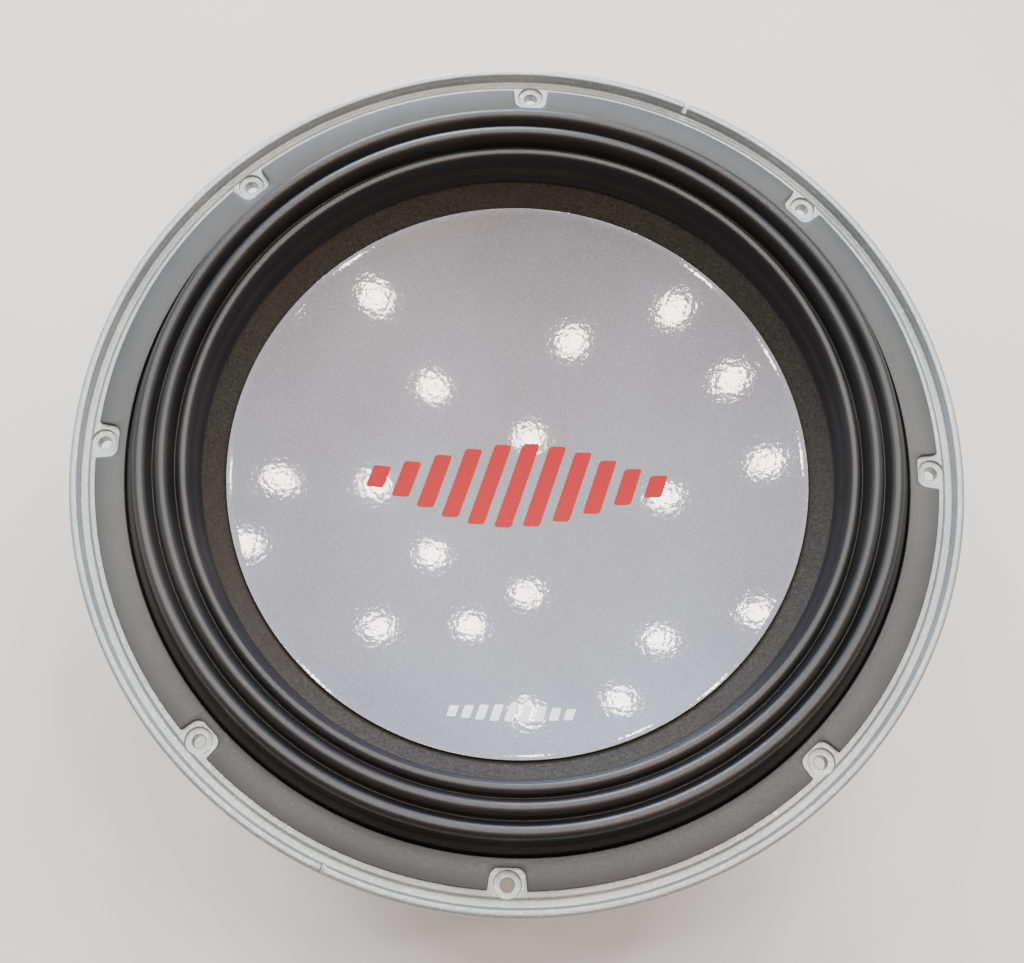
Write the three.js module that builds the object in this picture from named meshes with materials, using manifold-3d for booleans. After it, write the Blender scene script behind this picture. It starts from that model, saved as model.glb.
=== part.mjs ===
// A car subwoofer driver of the 15-inch class: cast basket, tall three-roll rubber surround, paper cone
// with a dished dust cap, dual voice coil, spider, stacked ferrite motor and two pairs of push terminals.
// Millimetres, +Z up. The driver stands on its motor's rear face and looks up: the origin is on the
// driver's axis at that rear face, and +Y points at one of the bolt holes.
import * as THREE from "three";
import { mergeVertices } from "three/addons/utils/BufferGeometryUtils.js";
import Module from "manifold-3d";

const wasm = await Module();
wasm.setup();

// ---- Driving dimensions ----

const gap = 0.3; // glue line or clearance between pieces that touch

// Motor, from the rear face up
const backPlateThickness = 12;
const magnetThickness = 20;
const topPlateThickness = 12;
const magnetRadius = 90;
const magnetSetback = 4.8; // from the top plate's bore out to the magnets' bore
const plateInset = 3; // the steel plates are this much smaller than the magnets
const poleRise = 2; // the pole stands this far over the top plate
const ventRadius = 15;
const ventFlare = 6;
const bootWall = 3.5;
const bootEdge = 2.5; // from the boot's ends to the motor's
const shortingRingHeight = 5;

// Voice coil
const coilRadius = 38; // inside of the former
const formerWall = 0.7;
const windingWall = 0.9; // each of the two windings
const windingHeight = 36;
const poleClearance = 1.2;
const plateClearance = 1.1;

// Basket
const frameRadius = 198.5;
const flangeThickness = 7;
const lipWidth = 3.8;
const lipHeight = 4.4; // over the land that the gasket lies on
const grooveWidth = 4.4; // between the lip and the land
const grooveDepth = 1.2;
const basketDepth = 140; // from its seat on the motor to the rear of its flange
const bowlInset = 22.5; // from the frame's edge to the wall that passes through the cut-out
const bowlSkirt = 14; // straight height of that wall
const bowlWall = 4;
const seatThickness = 5;
const seatOverhang = 4; // the basket's lower wall stands this far outside the magnets
const seatSetback = 9.8; // from the top plate's bore out to the basket's bore
const spiderDrop = 25.5; // from the cone's neck down to the spider's landing
const landingWidth = 9;
const spokeCount = 8;
const spokeWidth = 17;
const windowCorner = 7;
const slotWidth = 22; // the cooling slots through the lower wall
const slotFoot = 0.1; // how far up the wall they start, and how much of it they take
const slotShare = 0.7667;
const ribWidth = 6;
const ribDepth = 9;

// Bolt holes through the flange
const boltCount = 8;
const boltInset = 13.5; // from the frame's edge to the bolt circle
const boltHoleRadius = 2.8;
const counterboreRadius = 5.7;
const counterboreDepth = 1.8;

// Gasket
const gasketInset = 10.2; // from the frame's edge to the gasket's outer edge
const gasketWidth = 13.1;
const gasketThickness = 2.2;
const notchEnd = 0.4; // from a bolt hole's counterbore to the notch's inner end
const notchSide = 1.4; // and to each of its sides
const notchFlare = 1.3; // how much wider each side is at the mouth
const notchCorner = 3;

// Surround
const surroundWall = 1.4;
const surroundLip = 3.2; // glued under the gasket, short of the bolt holes' pads
const surroundFoot = 1; // flat between the gasket and the foot of the rolls
const surroundSpan = 28.3; // from the rolls' outer foot to their inner one
const surroundFlange = 2; // glued on the cone's edge
// The rolls' crests and the valleys between them: the share of the span in from its outer foot, and how
// far over the land
const rollCrests = [
  [0.263, 17.6],
  [0.611, 17.9],
  [0.925, 13.2],
];
const rollValleys = [
  [0.46, 11.8],
  [0.78, 9],
];
const crestWidth = 3.4;

// Cone and dust cap
const coneDrop = 3; // the cone's edge is this far below the land
const coneDepth = 79.5;
const coneBow = 12; // how far its wall sags below a straight line from neck to edge
const coneWall = 1.2;
const coneRing = 13.2; // the ring of cone that shows outside the dust cap
const capSag = 27;
const capWall = 1.2;

// Spider
const spiderWall = 1.4;
const spiderWaves = 5;
const spiderAmplitude = 2.5;
const spiderLip = 7;

// Motor screws
const motorScrewCount = 6;
const motorScrewRadius = 3;
const motorScrewHead = 5;
const motorScrewHeadHeight = 5;
const motorScrewLength = 13;

// Terminals
const terminalMargin = 8; // from a post's side to the end of the terminal's plate
const terminalHeight = 22;
const plateThickness = 4;
const bracketThickness = 4;
const postSpacing = 22;
const postRadius = 8;
const postLength = 17;
const postBore = 5.3;
const wireHole = 2.1;
const plungerClearance = 0.4;
const plungerTravel = 3;
const capHeight = 4;
const capOverhang = 1.5;
const springLength = 5.6;
const springWire = 0.45;
const springTurns = 2.5;
const lugWidth = 5;
const lugThickness = 0.8;
const lugReach = 9; // inside the bracket
const terminalScrewRadius = 1.5;
const terminalScrewInset = 5; // from the end of the terminal's plate
const leadRadius = 1.1;

// Facets round a turn
const bigRing = 40;
const midRing = 32;
const smallRing = 12;

// ---- Derived places ----

const coilOuter = coilRadius + formerWall + 2 * (gap + windingWall);
const poleRadius = coilRadius - poleClearance;
const plateBore = coilOuter + plateClearance;
const plateRadius = magnetRadius - plateInset;
const magnetBore = plateBore + magnetSetback;
const seatBore = plateBore + seatSetback;
const seatRadius = magnetRadius + seatOverhang;
const rearMagnetZ = backPlateThickness + gap;
const frontMagnetZ = rearMagnetZ + magnetThickness + gap;
const topPlateZ = frontMagnetZ + magnetThickness + gap;
const topPlateTop = topPlateZ + topPlateThickness;
const seatZ = topPlateTop + gap;
const seatTop = seatZ + seatThickness;
const flangeZ = seatZ + basketDepth;
const landZ = flangeZ + flangeThickness;
const boltCircle = frameRadius - boltInset;
const bowlRadius = frameRadius - bowlInset;
const gasketOuter = frameRadius - gasketInset;
const gasketInner = gasketOuter - gasketWidth;
const ledgeRadius = gasketInner + surroundLip + gap;
const ledgeZ = landZ - surroundWall - gap;
const rollOuter = gasketInner - surroundFoot;
const rollInner = rollOuter - surroundSpan;
const coneRadius = rollInner;
const coneEdgeZ = landZ - coneDrop;
const coneNeck = coilRadius + formerWall + gap;
const coneNeckZ = coneEdgeZ - coneDepth;
const landingZ = coneNeckZ - spiderDrop;
const capRadius = coneRadius - coneRing;
const landingInner = seatRadius - bowlWall - landingWidth;
const spiderZ = landingZ + gap + spiderWall / 2;
const spiderOuter = seatRadius - bowlWall - gap;
const coilMiddle = topPlateZ + topPlateThickness / 2;
const bracketX = seatRadius + bracketThickness / 2;
const terminalX = bracketX + bracketThickness + gap;
const terminalLength = postSpacing + 2 * (postRadius + terminalMargin);
const terminalScrewY = terminalLength / 2 - terminalScrewInset;
const terminalZ = landingZ + terminalHeight / 2 + 2;

// ---- Shape helpers ----

// A closed outline of [radius, z] points turned about Z. Its points run anticlockwise in the r-z plane.
function turned(outline, facets) {
  const closed = [...outline, outline[0]].map(([r, z]) => new THREE.Vector2(r, z));
  return new THREE.LatheGeometry(closed, facets).rotateX(Math.PI / 2);
}

// A plain ring, or a disc stack, from an inner to an outer radius.
function ring(inner, outer, low, high, facets) {
  return turned([[inner, low], [outer, low], [outer, high], [inner, high]], facets);
}

// A wall of even thickness along a line of [radius, z] points that runs outwards, as a closed outline.
function walled(line, thickness) {
  const normals = line.slice(1).map(([r, z], i) => {
    const length = Math.hypot(r - line[i][0], z - line[i][1]);
    return [(line[i][1] - z) / length, (r - line[i][0]) / length];
  });
  const shift = (side) =>
    line.map(([r, z], i) => {
      const [a0, a1] = normals[Math.max(i - 1, 0)];
      const [b0, b1] = normals[Math.min(i, normals.length - 1)];
      const mitre = (side * thickness) / 2 / (1 + a0 * b0 + a1 * b1);
      return [r + (a0 + b0) * mitre, z + (a1 + b1) * mitre];
    });
  return [...shift(-1), ...shift(1).reverse()];
}

// A rod along Z, from low to high.
function rod(radius, low, high, facets = smallRing) {
  return new THREE.CylinderGeometry(radius, radius, high - low, facets)
    .rotateX(Math.PI / 2)
    .translate(0, 0, (low + high) / 2);
}

// A rod along X, from near to far, in line with y and z.
function crossRod(radius, near, far, y, z, facets = smallRing) {
  return rod(radius, near, far, facets).rotateY(Math.PI / 2).translate(0, y, z);
}

// A box from its lowest to its highest corner.
function block([x0, y0, z0], [x1, y1, z1]) {
  return new THREE.BoxGeometry(x1 - x0, y1 - y0, z1 - z0).translate(
    (x0 + x1) / 2,
    (y0 + y1) / 2,
    (z0 + z1) / 2,
  );
}

// A closed [radius, z] outline in the plane of one spoke, thickened about that plane.
function blade(outline, width) {
  const shape = new THREE.Shape(outline.map(([r, z]) => new THREE.Vector2(r, z)));
  return new THREE.ExtrudeGeometry(shape, { depth: width, bevelEnabled: false })
    .translate(0, 0, -width / 2)
    .rotateX(Math.PI / 2);
}

function about(geometry, angle) {
  return geometry.clone().rotateZ(angle);
}

function solid(geometry) {
  const bare = geometry.clone();
  bare.deleteAttribute("normal");
  bare.deleteAttribute("uv");
  const merged = mergeVertices(bare, 1e-4);
  const mesh = new wasm.Mesh({
    numProp: 3,
    vertProperties: merged.attributes.position.array,
    triVerts: new Uint32Array(merged.index.array),
  });
  return new wasm.Manifold(mesh);
}

function geometryOf(body) {
  const mesh = body.getMesh();
  return new THREE.BufferGeometry()
    .setAttribute("position", new THREE.BufferAttribute(mesh.vertProperties, 3))
    .setIndex(new THREE.BufferAttribute(mesh.triVerts, 1));
}

// The first geometry with others joined to it, and then others cut from it.
function shaped(base, joined, cut) {
  let body = solid(base);
  for (const piece of joined) body = body.add(solid(piece));
  for (const piece of cut) body = body.subtract(solid(piece));
  return geometryOf(body);
}

function piece(name, geometry, finish) {
  const mesh = new THREE.Mesh(geometry, new THREE.MeshStandardMaterial(finish));
  mesh.name = name;
  return mesh;
}

function angles(count) {
  return Array.from({ length: count }, (_, i) => (2 * Math.PI * i) / count);
}

// ---- Finishes ----

const castPaint = { color: 0xb9bec2, roughness: 0.45, metalness: 0.7 };
const rubber = { color: 0x55575a, roughness: 0.6, metalness: 0 };
const blackRubber = { color: 0x2a2b2d, roughness: 0.5, metalness: 0 };
const pulp = { color: 0x4a4846, roughness: 0.85, metalness: 0 };
const pearl = { color: 0xa9abb3, roughness: 0.25, metalness: 0.4 };
const ferrite = { color: 0x2e2d2f, roughness: 0.7, metalness: 0.1 };
const zincSteel = { color: 0xa7a9ad, roughness: 0.35, metalness: 1 };
const copper = { color: 0xb8693a, roughness: 0.35, metalness: 1 };
const aluminium = { color: 0xc9cbce, roughness: 0.3, metalness: 1 };
const cloth = { color: 0xb49a66, roughness: 0.9, metalness: 0 };
const blackPlastic = { color: 0x1c1c1e, roughness: 0.45, metalness: 0 };
const redPlastic = { color: 0xa81c1c, roughness: 0.35, metalness: 0 };
const brass = { color: 0xc9a557, roughness: 0.3, metalness: 1 };
const braid = { color: 0xc4b59a, roughness: 0.6, metalness: 0.6 };

// ---- Motor ----

function yoke() {
  const top = topPlateTop + poleRise;
  return turned(
    [
      [ventRadius + ventFlare, 0],
      [plateRadius, 0],
      [plateRadius, backPlateThickness],
      [poleRadius, backPlateThickness],
      [poleRadius, top],
      [ventRadius + ventFlare / 2, top],
      [ventRadius, top - ventFlare],
      [ventRadius, ventFlare],
    ],
    midRing,
  );
}

function topPlate() {
  const holes = motorScrewPlaces().map(([x, y]) =>
    rod(motorScrewRadius + gap, topPlateZ - 1, topPlateTop + 1).translate(x, y, 0),
  );
  return shaped(ring(plateBore, plateRadius, topPlateZ, topPlateTop, midRing), [], holes);
}

// The rubber jacket over both magnets, with an inner lip at each end.
function magnetBoot() {
  const inner = magnetRadius + gap;
  const outer = inner + bootWall;
  const low = bootEdge;
  const high = topPlateTop - bootEdge;
  const round = bootWall / 2;
  return turned(
    [
      [plateRadius + gap, low],
      [outer - round, low],
      [outer, low + round],
      [outer, high - round],
      [outer - round, high],
      [plateRadius + gap, high],
      [plateRadius + gap, topPlateZ],
      [inner, topPlateZ],
      [inner, backPlateThickness],
      [plateRadius + gap, backPlateThickness],
    ],
    midRing,
  );
}

function motorScrewPlaces() {
  const circle = (seatBore + seatRadius - bowlWall) / 2;
  return angles(motorScrewCount).map((a) => [circle * Math.cos(a), circle * Math.sin(a)]);
}

// A socket-head screw whose head's underside is at z 0.
function socketScrew() {
  const socket = rod(motorScrewRadius - 0.5, motorScrewHeadHeight / 2, motorScrewHeadHeight + 1, 6);
  const head = rod(motorScrewHead, 0, motorScrewHeadHeight);
  return shaped(rod(motorScrewRadius, -motorScrewLength, 1), [head], [socket]);
}

function motor() {
  const group = new THREE.Group();
  const shortingOuter = plateBore + plateClearance;
  const shortingTop = backPlateThickness + gap + shortingRingHeight;
  const magnet = ring(magnetBore, magnetRadius, 0, magnetThickness, midRing);
  const rear = piece("magnet_rear", magnet, ferrite);
  rear.position.z = rearMagnetZ;
  const front = piece("magnet_front", magnet, ferrite);
  front.position.z = frontMagnetZ;
  const shorting = ring(poleRadius + gap, shortingOuter, rearMagnetZ, shortingTop, midRing);
  group.add(
    piece("yoke", yoke(), zincSteel),
    piece("shorting_ring", shorting, aluminium),
    rear,
    front,
    piece("top_plate", topPlate(), zincSteel),
    piece("magnet_boot", magnetBoot(), blackRubber),
  );
  motorScrewPlaces().forEach(([x, y], i) => {
    const screw = piece("motor_screw_" + (i + 1), socketScrew(), zincSteel);
    screw.position.set(x, y, seatTop + gap);
    group.add(screw);
  });
  return group;
}

// ---- Basket ----

// The bowl's outer line, from the lower wall's top to the skirt's foot, moved outwards by a distance.
function bowlLine(out) {
  const low = [seatRadius, landingZ - bowlWall / 2];
  const high = [bowlRadius - bowlWall, flangeZ - bowlSkirt - 2 * bowlWall];
  const length = Math.hypot(high[0] - low[0], high[1] - low[1]);
  const shift = [((high[1] - low[1]) * out) / length, ((low[0] - high[0]) * out) / length];
  return [low, high].map(([r, z]) => [r + shift[0], z + shift[1]]);
}

function basketShell() {
  const [outerLow, outerHigh] = bowlLine(0);
  const [, innerHigh] = bowlLine(-bowlWall);
  const lipInner = frameRadius - lipWidth;
  const lipTop = landZ + lipHeight;
  const lipRound = lipWidth / 4;
  const wallInner = bowlRadius - bowlWall;
  return turned(
    [
      [seatBore, seatZ],
      [seatRadius, seatZ],
      outerLow,
      outerHigh,
      [bowlRadius, flangeZ - bowlSkirt],
      [bowlRadius, flangeZ],
      [frameRadius, flangeZ],
      [frameRadius, lipTop - 2 * lipRound],
      [frameRadius - lipRound, lipTop],
      [lipInner + lipRound, lipTop],
      [lipInner, lipTop - 2 * lipRound],
      [lipInner, landZ - grooveDepth],
      [lipInner - grooveWidth, landZ - grooveDepth],
      [lipInner - grooveWidth, landZ],
      [ledgeRadius, landZ],
      [ledgeRadius, ledgeZ],
      [wallInner, ledgeZ],
      [wallInner, flangeZ - bowlSkirt],
      innerHigh,
      [seatRadius - bowlWall, landingZ],
      [landingInner, landingZ],
      [landingInner, landingZ - bowlWall],
      [seatRadius - bowlWall, landingZ - bowlWall],
      [seatRadius - bowlWall, seatTop],
      [seatBore, seatTop],
    ],
    bigRing,
  );
}

// One window between two spokes, as a tall cutter centred on +X, with round corners and parallel spokes.
function windowCutter() {
  const half = Math.PI / spokeCount;
  const inner = seatRadius + 2 * bowlWall;
  const outer = bowlRadius - 3.5 * bowlWall;
  const edge = (radius) => half - Math.asin(spokeWidth / 2 / radius);
  const at = (radius, angle) => [radius * Math.cos(angle), radius * Math.sin(angle)];
  const innerArc = edge(inner) - windowCorner / inner;
  const outerArc = edge(outer) - windowCorner / outer;
  const innerSide = inner + windowCorner;
  const outerSide = outer - windowCorner;
  const shape = new THREE.Shape();
  shape.moveTo(...at(inner, innerArc));
  shape.absarc(0, 0, inner, innerArc, -innerArc, true);
  shape.quadraticCurveTo(...at(inner, -edge(inner)), ...at(innerSide, -edge(innerSide)));
  shape.lineTo(...at(outerSide, -edge(outerSide)));
  shape.quadraticCurveTo(...at(outer, -edge(outer)), ...at(outer, -outerArc));
  shape.absarc(0, 0, outer, -outerArc, outerArc, false);
  shape.quadraticCurveTo(...at(outer, edge(outer)), ...at(outerSide, edge(outerSide)));
  shape.lineTo(...at(innerSide, edge(innerSide)));
  shape.quadraticCurveTo(...at(inner, edge(inner)), ...at(inner, innerArc));
  const depth = flangeZ - landingZ;
  return new THREE.ExtrudeGeometry(shape, { depth, bevelEnabled: false, curveSegments: 3 }).translate(
    0,
    0,
    landingZ - bowlWall,
  );
}

// The stiffening rib under one spoke, from the lower wall out to the skirt.
function spokeRib() {
  const [low, high] = bowlLine(-bowlWall / 2);
  const [outLow, outHigh] = bowlLine(ribDepth);
  const reach = bowlRadius - gap - outLow[0];
  const slope = (outHigh[1] - outLow[1]) / (outHigh[0] - outLow[0]);
  const foot = seatRadius + ribDepth / 2;
  return blade(
    [
      [seatRadius - bowlWall / 2, seatTop],
      [foot, seatTop + ribDepth],
      [foot, outLow[1]],
      outLow,
      [bowlRadius - gap, outLow[1] + slope * reach],
      [bowlRadius - gap, flangeZ - bowlSkirt],
      high,
      low,
    ],
    ribWidth,
  );
}

// Under each window, a slot through the lower wall lets air out from below the spider.
function coolingSlot() {
  const clear = landingZ - bowlWall - seatTop;
  const low = seatTop + clear * slotFoot;
  const half = slotWidth / 2;
  return block(
    [seatRadius - 2 * bowlWall, -half, low],
    [seatRadius + bowlWall, half, low + clear * slotShare],
  );
}

// The upright plate that carries a terminal, and the room cut for the terminal in front of it.
function terminalBracket() {
  const half = terminalLength / 2 + 1;
  const top = terminalZ + terminalHeight / 2 + 1;
  return block([bracketX, -half, landingZ - bowlWall], [bracketX + bracketThickness, half, top]);
}

function terminalRoom() {
  const half = terminalLength / 2 + 2;
  return block(
    [bracketX + bracketThickness / 2, -half, terminalZ - terminalHeight / 2 - 1],
    [bracketX + 6 * bracketThickness, half, terminalZ + terminalHeight],
  );
}

// Cuts for the two lugs and the two screws of one terminal, right through the bracket.
function terminalCuts(near, far) {
  const half = lugWidth / 2 + gap;
  const thick = lugThickness / 2 + gap;
  const cuts = [];
  for (const side of [-1, 1]) {
    const y = (side * postSpacing) / 2;
    cuts.push(block([near, y - half, terminalZ - thick], [far, y + half, terminalZ + thick]));
    cuts.push(crossRod(terminalScrewRadius + gap, near, far, side * terminalScrewY, terminalZ, 8));
  }
  return cuts;
}

function boltCuts() {
  const hole = rod(boltHoleRadius, flangeZ - 1, landZ + 1);
  const counterbore = rod(counterboreRadius, landZ - counterboreDepth, landZ + 1);
  return angles(boltCount).flatMap((a) =>
    [hole, counterbore].map((g) => about(g.clone().translate(0, boltCircle, 0), a)),
  );
}

function basket() {
  const spokes = angles(spokeCount);
  const between = Math.PI / spokeCount;
  const windows = spokes.map((a) => about(windowCutter(), a));
  const slots = spokes.map((a) => about(coolingSlot(), a));
  const sides = [0, Math.PI];
  const rooms = sides.map((a) => about(terminalRoom(), a));
  const shell = shaped(basketShell(), [], [...windows, ...slots, ...rooms]);
  const ribs = spokes.map((a) => about(spokeRib(), a + between));
  const brackets = sides.map((a) => about(terminalBracket(), a));
  const cuts = sides.flatMap((a) =>
    terminalCuts(bracketX - 1, bracketX + bracketThickness + 1).map((g) => about(g, a)),
  );
  const screws = motorScrewPlaces().map(([x, y]) =>
    rod(motorScrewRadius + gap, seatZ - 1, seatTop + 1).translate(x, y, 0),
  );
  return shaped(shell, [...ribs, ...brackets], [...cuts, ...screws, ...boltCuts()]);
}

// ---- Gasket ----

// One notch round a bolt hole, as a cutter at +Y that is open to the gasket's outer edge.
function gasketNotch() {
  const inner = boltCircle - counterboreRadius - notchEnd;
  const outer = gasketOuter + 1;
  const half = counterboreRadius + notchSide;
  const shape = new THREE.Shape();
  shape.moveTo(-half - notchFlare, outer);
  shape.lineTo(-half, inner + notchCorner);
  shape.quadraticCurveTo(-half, inner, -half + notchCorner, inner);
  shape.lineTo(half - notchCorner, inner);
  shape.quadraticCurveTo(half, inner, half, inner + notchCorner);
  shape.lineTo(half + notchFlare, outer);
  const depth = gasketThickness + 2;
  return new THREE.ExtrudeGeometry(shape, { depth, bevelEnabled: false, curveSegments: 3 }).translate(
    0,
    0,
    landZ - 1,
  );
}

function gasket() {
  const low = landZ + gap;
  const body = ring(gasketInner, gasketOuter, low, low + gasketThickness, bigRing);
  const notches = angles(boltCount).map((a) => about(gasketNotch(), a));
  return shaped(body, [], notches);
}

// ---- Moving assembly ----

// Where the middle of the cone's wall is at a radius: a bowed line from its neck to its edge.
function coneHeight(radius) {
  const along = (radius - coneNeck) / (coneRadius - coneNeck);
  return coneNeckZ + coneDepth * along - coneBow * Math.sin(Math.PI * along);
}

function cone() {
  const steps = 5;
  const neck = coneNeck + coneWall / 2;
  const line = [[neck, coneNeckZ - 6], [neck, coneNeckZ]];
  for (let i = 1; i <= steps; i++) {
    const radius = coneNeck + ((coneRadius - coneNeck) * i) / steps;
    line.push([radius, coneHeight(radius)]);
  }
  return turned(walled(line, coneWall), bigRing);
}

// A dish that sags towards its middle and rests its turned-down edge on the cone.
function dustCap() {
  const steps = 5;
  const edge = coneHeight(capRadius) + coneWall + capWall + gap;
  const line = Array.from({ length: steps + 1 }, (_, i) => {
    const along = i / steps;
    return [capRadius * along, edge - capSag * (1 - along * along)];
  });
  const above = line.map(([r, z]) => [r, z + capWall / 2]).reverse();
  const below = line.map(([r, z]) => [r, z - capWall / 2]);
  return new THREE.LatheGeometry(
    [...below, ...above].map(([r, z]) => new THREE.Vector2(r, z)),
    bigRing,
  ).rotateX(Math.PI / 2);
}

// One tall arch with three rolls on it, from under the gasket to the cone's edge.
function surround() {
  const inside = coneRadius - surroundFlange;
  const slope = (coneHeight(coneRadius) - coneHeight(inside)) / surroundFlange;
  const overCone = ((coneWall + surroundWall) / 2 + gap) * Math.hypot(1, slope);
  const footZ = ledgeZ + surroundWall / 2 + gap / 2;
  const line = [[gasketInner + surroundLip, footZ], [rollOuter, footZ]];
  rollCrests.forEach(([share, rise], i) => {
    const crest = rollOuter - share * surroundSpan;
    line.push([crest + crestWidth / 2, landZ + rise]);
    line.push([crest - crestWidth / 2, landZ + rise]);
    if (i < rollValleys.length) {
      const [valleyShare, valleyRise] = rollValleys[i];
      line.push([rollOuter - valleyShare * surroundSpan, landZ + valleyRise]);
    }
  });
  line.push([rollInner, coneHeight(coneRadius) + overCone]);
  line.push([inside, coneHeight(inside) + overCone]);
  return turned(walled(line.reverse(), surroundWall), bigRing);
}

// A zigzag disc of stiffened cloth that centres the coil.
function spider() {
  const inner = coneNeck + spiderWall / 2;
  const outer = landingInner - spiderWall;
  const line = [[inner, spiderZ + 2 * spiderAmplitude], [inner + spiderWall, spiderZ]];
  for (let i = 1; i < 2 * spiderWaves; i++) {
    const along = i / (2 * spiderWaves);
    line.push([inner + (outer - inner) * along, spiderZ + (i % 2 ? 1 : -1) * spiderAmplitude]);
  }
  line.push([outer, spiderZ], [spiderOuter, spiderZ]);
  return turned(walled(line, spiderWall), midRing);
}

function movingAssembly() {
  const group = new THREE.Group();
  const coilLow = coilMiddle - windingHeight / 2;
  const coilHigh = coilMiddle + windingHeight / 2;
  const formerOuter = coilRadius + formerWall;
  const innerWinding = formerOuter + gap;
  const outerWinding = innerWinding + windingWall + gap;
  const former = ring(coilRadius, formerOuter, coilLow - 2, coneNeckZ + 2, midRing);
  const windingA = ring(innerWinding, innerWinding + windingWall, coilLow, coilHigh, midRing);
  const windingB = ring(outerWinding, outerWinding + windingWall, coilLow, coilHigh, midRing);
  group.add(
    piece("cone", cone(), pulp),
    piece("dust_cap", dustCap(), pearl),
    piece("surround", surround(), blackRubber),
    piece("spider", spider(), cloth),
    piece("coil_former", former, aluminium),
    piece("coil_winding_inner", windingA, copper),
    piece("coil_winding_outer", windingB, copper),
  );
  return group;
}

// ---- Terminals ----

// The moulded base of one terminal: a plate with two hollow posts, each with a hole across for a wire.
function terminalBase() {
  const postStart = terminalX + plateThickness;
  const postEnd = postStart + postLength;
  const low = terminalZ - terminalHeight / 2;
  const plate = block(
    [terminalX, -terminalLength / 2, low],
    [postStart, terminalLength / 2, low + terminalHeight],
  );
  const posts = [-1, 1].map((s) =>
    crossRod(postRadius, postStart - 1, postEnd, (s * postSpacing) / 2, terminalZ, 16),
  );
  const bores = [-1, 1].map((s) =>
    crossRod(postBore, postStart, postEnd + 1, (s * postSpacing) / 2, terminalZ),
  );
  const wires = [-1, 1].map((s) =>
    rod(wireHole, terminalZ - 2 * postRadius, terminalZ + 2 * postRadius, 8).translate(
      wirePlace(),
      (s * postSpacing) / 2,
      0,
    ),
  );
  const through = terminalCuts(terminalX - 1, postStart + 1);
  return shaped(plate, posts, [...bores, ...wires, ...through]);
}

function plungerStart() {
  return terminalX + plateThickness + 2 * gap + springLength;
}

function wirePlace() {
  return plungerStart() + wireHole + 2.5;
}

// One push plunger. Its own wire hole sits further out than the post's until it is pressed.
function plunger(y) {
  const postEnd = terminalX + plateThickness + postLength;
  const capStart = postEnd + gap + plungerTravel;
  const stem = crossRod(postBore - plungerClearance, plungerStart(), capStart + 1, y, terminalZ);
  const cap = crossRod(postBore + capOverhang, capStart, capStart + capHeight, y, terminalZ, 16);
  const wire = rod(wireHole, terminalZ - 2 * postRadius, terminalZ + 2 * postRadius, 8);
  return shaped(stem, [cap], [wire.translate(wirePlace() + plungerTravel, y, 0)]);
}

class Coil extends THREE.Curve {
  constructor(radius, start, length, turns) {
    super();
    Object.assign(this, { radius, start, length, turns });
  }

  getPoint(t, target = new THREE.Vector3()) {
    const angle = 2 * Math.PI * this.turns * t;
    const x = this.start + this.length * t;
    return target.set(x, this.radius * Math.cos(angle), this.radius * Math.sin(angle));
  }
}

function tube(curve, radius, sides, steps) {
  const section = new THREE.Shape();
  for (let i = 0; i < sides; i++) {
    const angle = (2 * Math.PI * i) / sides;
    const place = [radius * Math.cos(angle), radius * Math.sin(angle)];
    if (i) section.lineTo(...place);
    else section.moveTo(...place);
  }
  return new THREE.ExtrudeGeometry(section, { extrudePath: curve, steps, bevelEnabled: false });
}

function plungerSpring(y) {
  const start = terminalX + plateThickness + gap + springWire;
  const length = springLength - 2 * springWire;
  const coil = new Coil(postBore - plungerClearance - 2 * springWire, start, length, springTurns);
  return tube(coil, springWire, 5, 18).translate(0, y, terminalZ);
}

function lug(y) {
  return block(
    [bracketX - lugReach, y - lugWidth / 2, terminalZ - lugThickness / 2],
    [terminalX + plateThickness - gap, y + lugWidth / 2, terminalZ + lugThickness / 2],
  );
}

// A pan-head screw along X that holds the base to its bracket.
function terminalScrew(y) {
  const face = terminalX + plateThickness + gap;
  const shank = crossRod(terminalScrewRadius, bracketX, face + 0.5, y, terminalZ, 8);
  return shaped(shank, [crossRod(2 * terminalScrewRadius, face, face + 2, y, terminalZ, 10)], []);
}

// A tinsel lead that arches from a lug's end, over the spider, to the coil's former.
function tinselLead(y) {
  const lugEnd = bracketX - lugReach - gap;
  const formerEnd = Math.sqrt((coneNeck + leadRadius) ** 2 - y ** 2) + gap;
  const span = lugEnd - formerEnd;
  const rise = coneNeckZ - terminalZ;
  const places = [
    [0, 0],
    [0.08, 0.1],
    [0.25, 0.75],
    [0.5, 1.05],
    [0.75, 0.85],
    [0.92, 0.45],
    [1, 0.4],
  ];
  const points = places.map(
    ([along, up]) => new THREE.Vector3(lugEnd - span * along, y, terminalZ + rise * up),
  );
  return tube(new THREE.CatmullRomCurve3(points), leadRadius, 8, 12);
}

function terminal(end, sides) {
  const group = new THREE.Group();
  group.add(piece("terminal_base_" + end, terminalBase(), blackPlastic));
  sides.forEach(([sign, pole, finish]) => {
    const y = (sign * postSpacing) / 2;
    const label = end + "_" + pole;
    group.add(
      piece("terminal_plunger_" + label, plunger(y), finish),
      piece("terminal_spring_" + label, plungerSpring(y), zincSteel),
      piece("terminal_lug_" + label, lug(y), brass),
      piece("terminal_screw_" + label, terminalScrew(sign * terminalScrewY), zincSteel),
      piece("tinsel_lead_" + label, tinselLead(y), braid),
    );
  });
  return group;
}

// ---- The driver ----

const driver = new THREE.Group();
const poles = [
  [-1, "plus", redPlastic],
  [1, "minus", blackPlastic],
];
const terminalA = terminal("a", poles);
const terminalB = terminal("b", poles);
terminalB.rotation.z = Math.PI;
driver.add(
  piece("basket", basket(), castPaint),
  piece("trim_gasket", gasket(), rubber),
  motor(),
  movingAssembly(),
  terminalA,
  terminalB,
);

export default driver;
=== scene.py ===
import math

import bmesh
import bpy
from mathutils import Euler, Matrix, Vector


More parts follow.
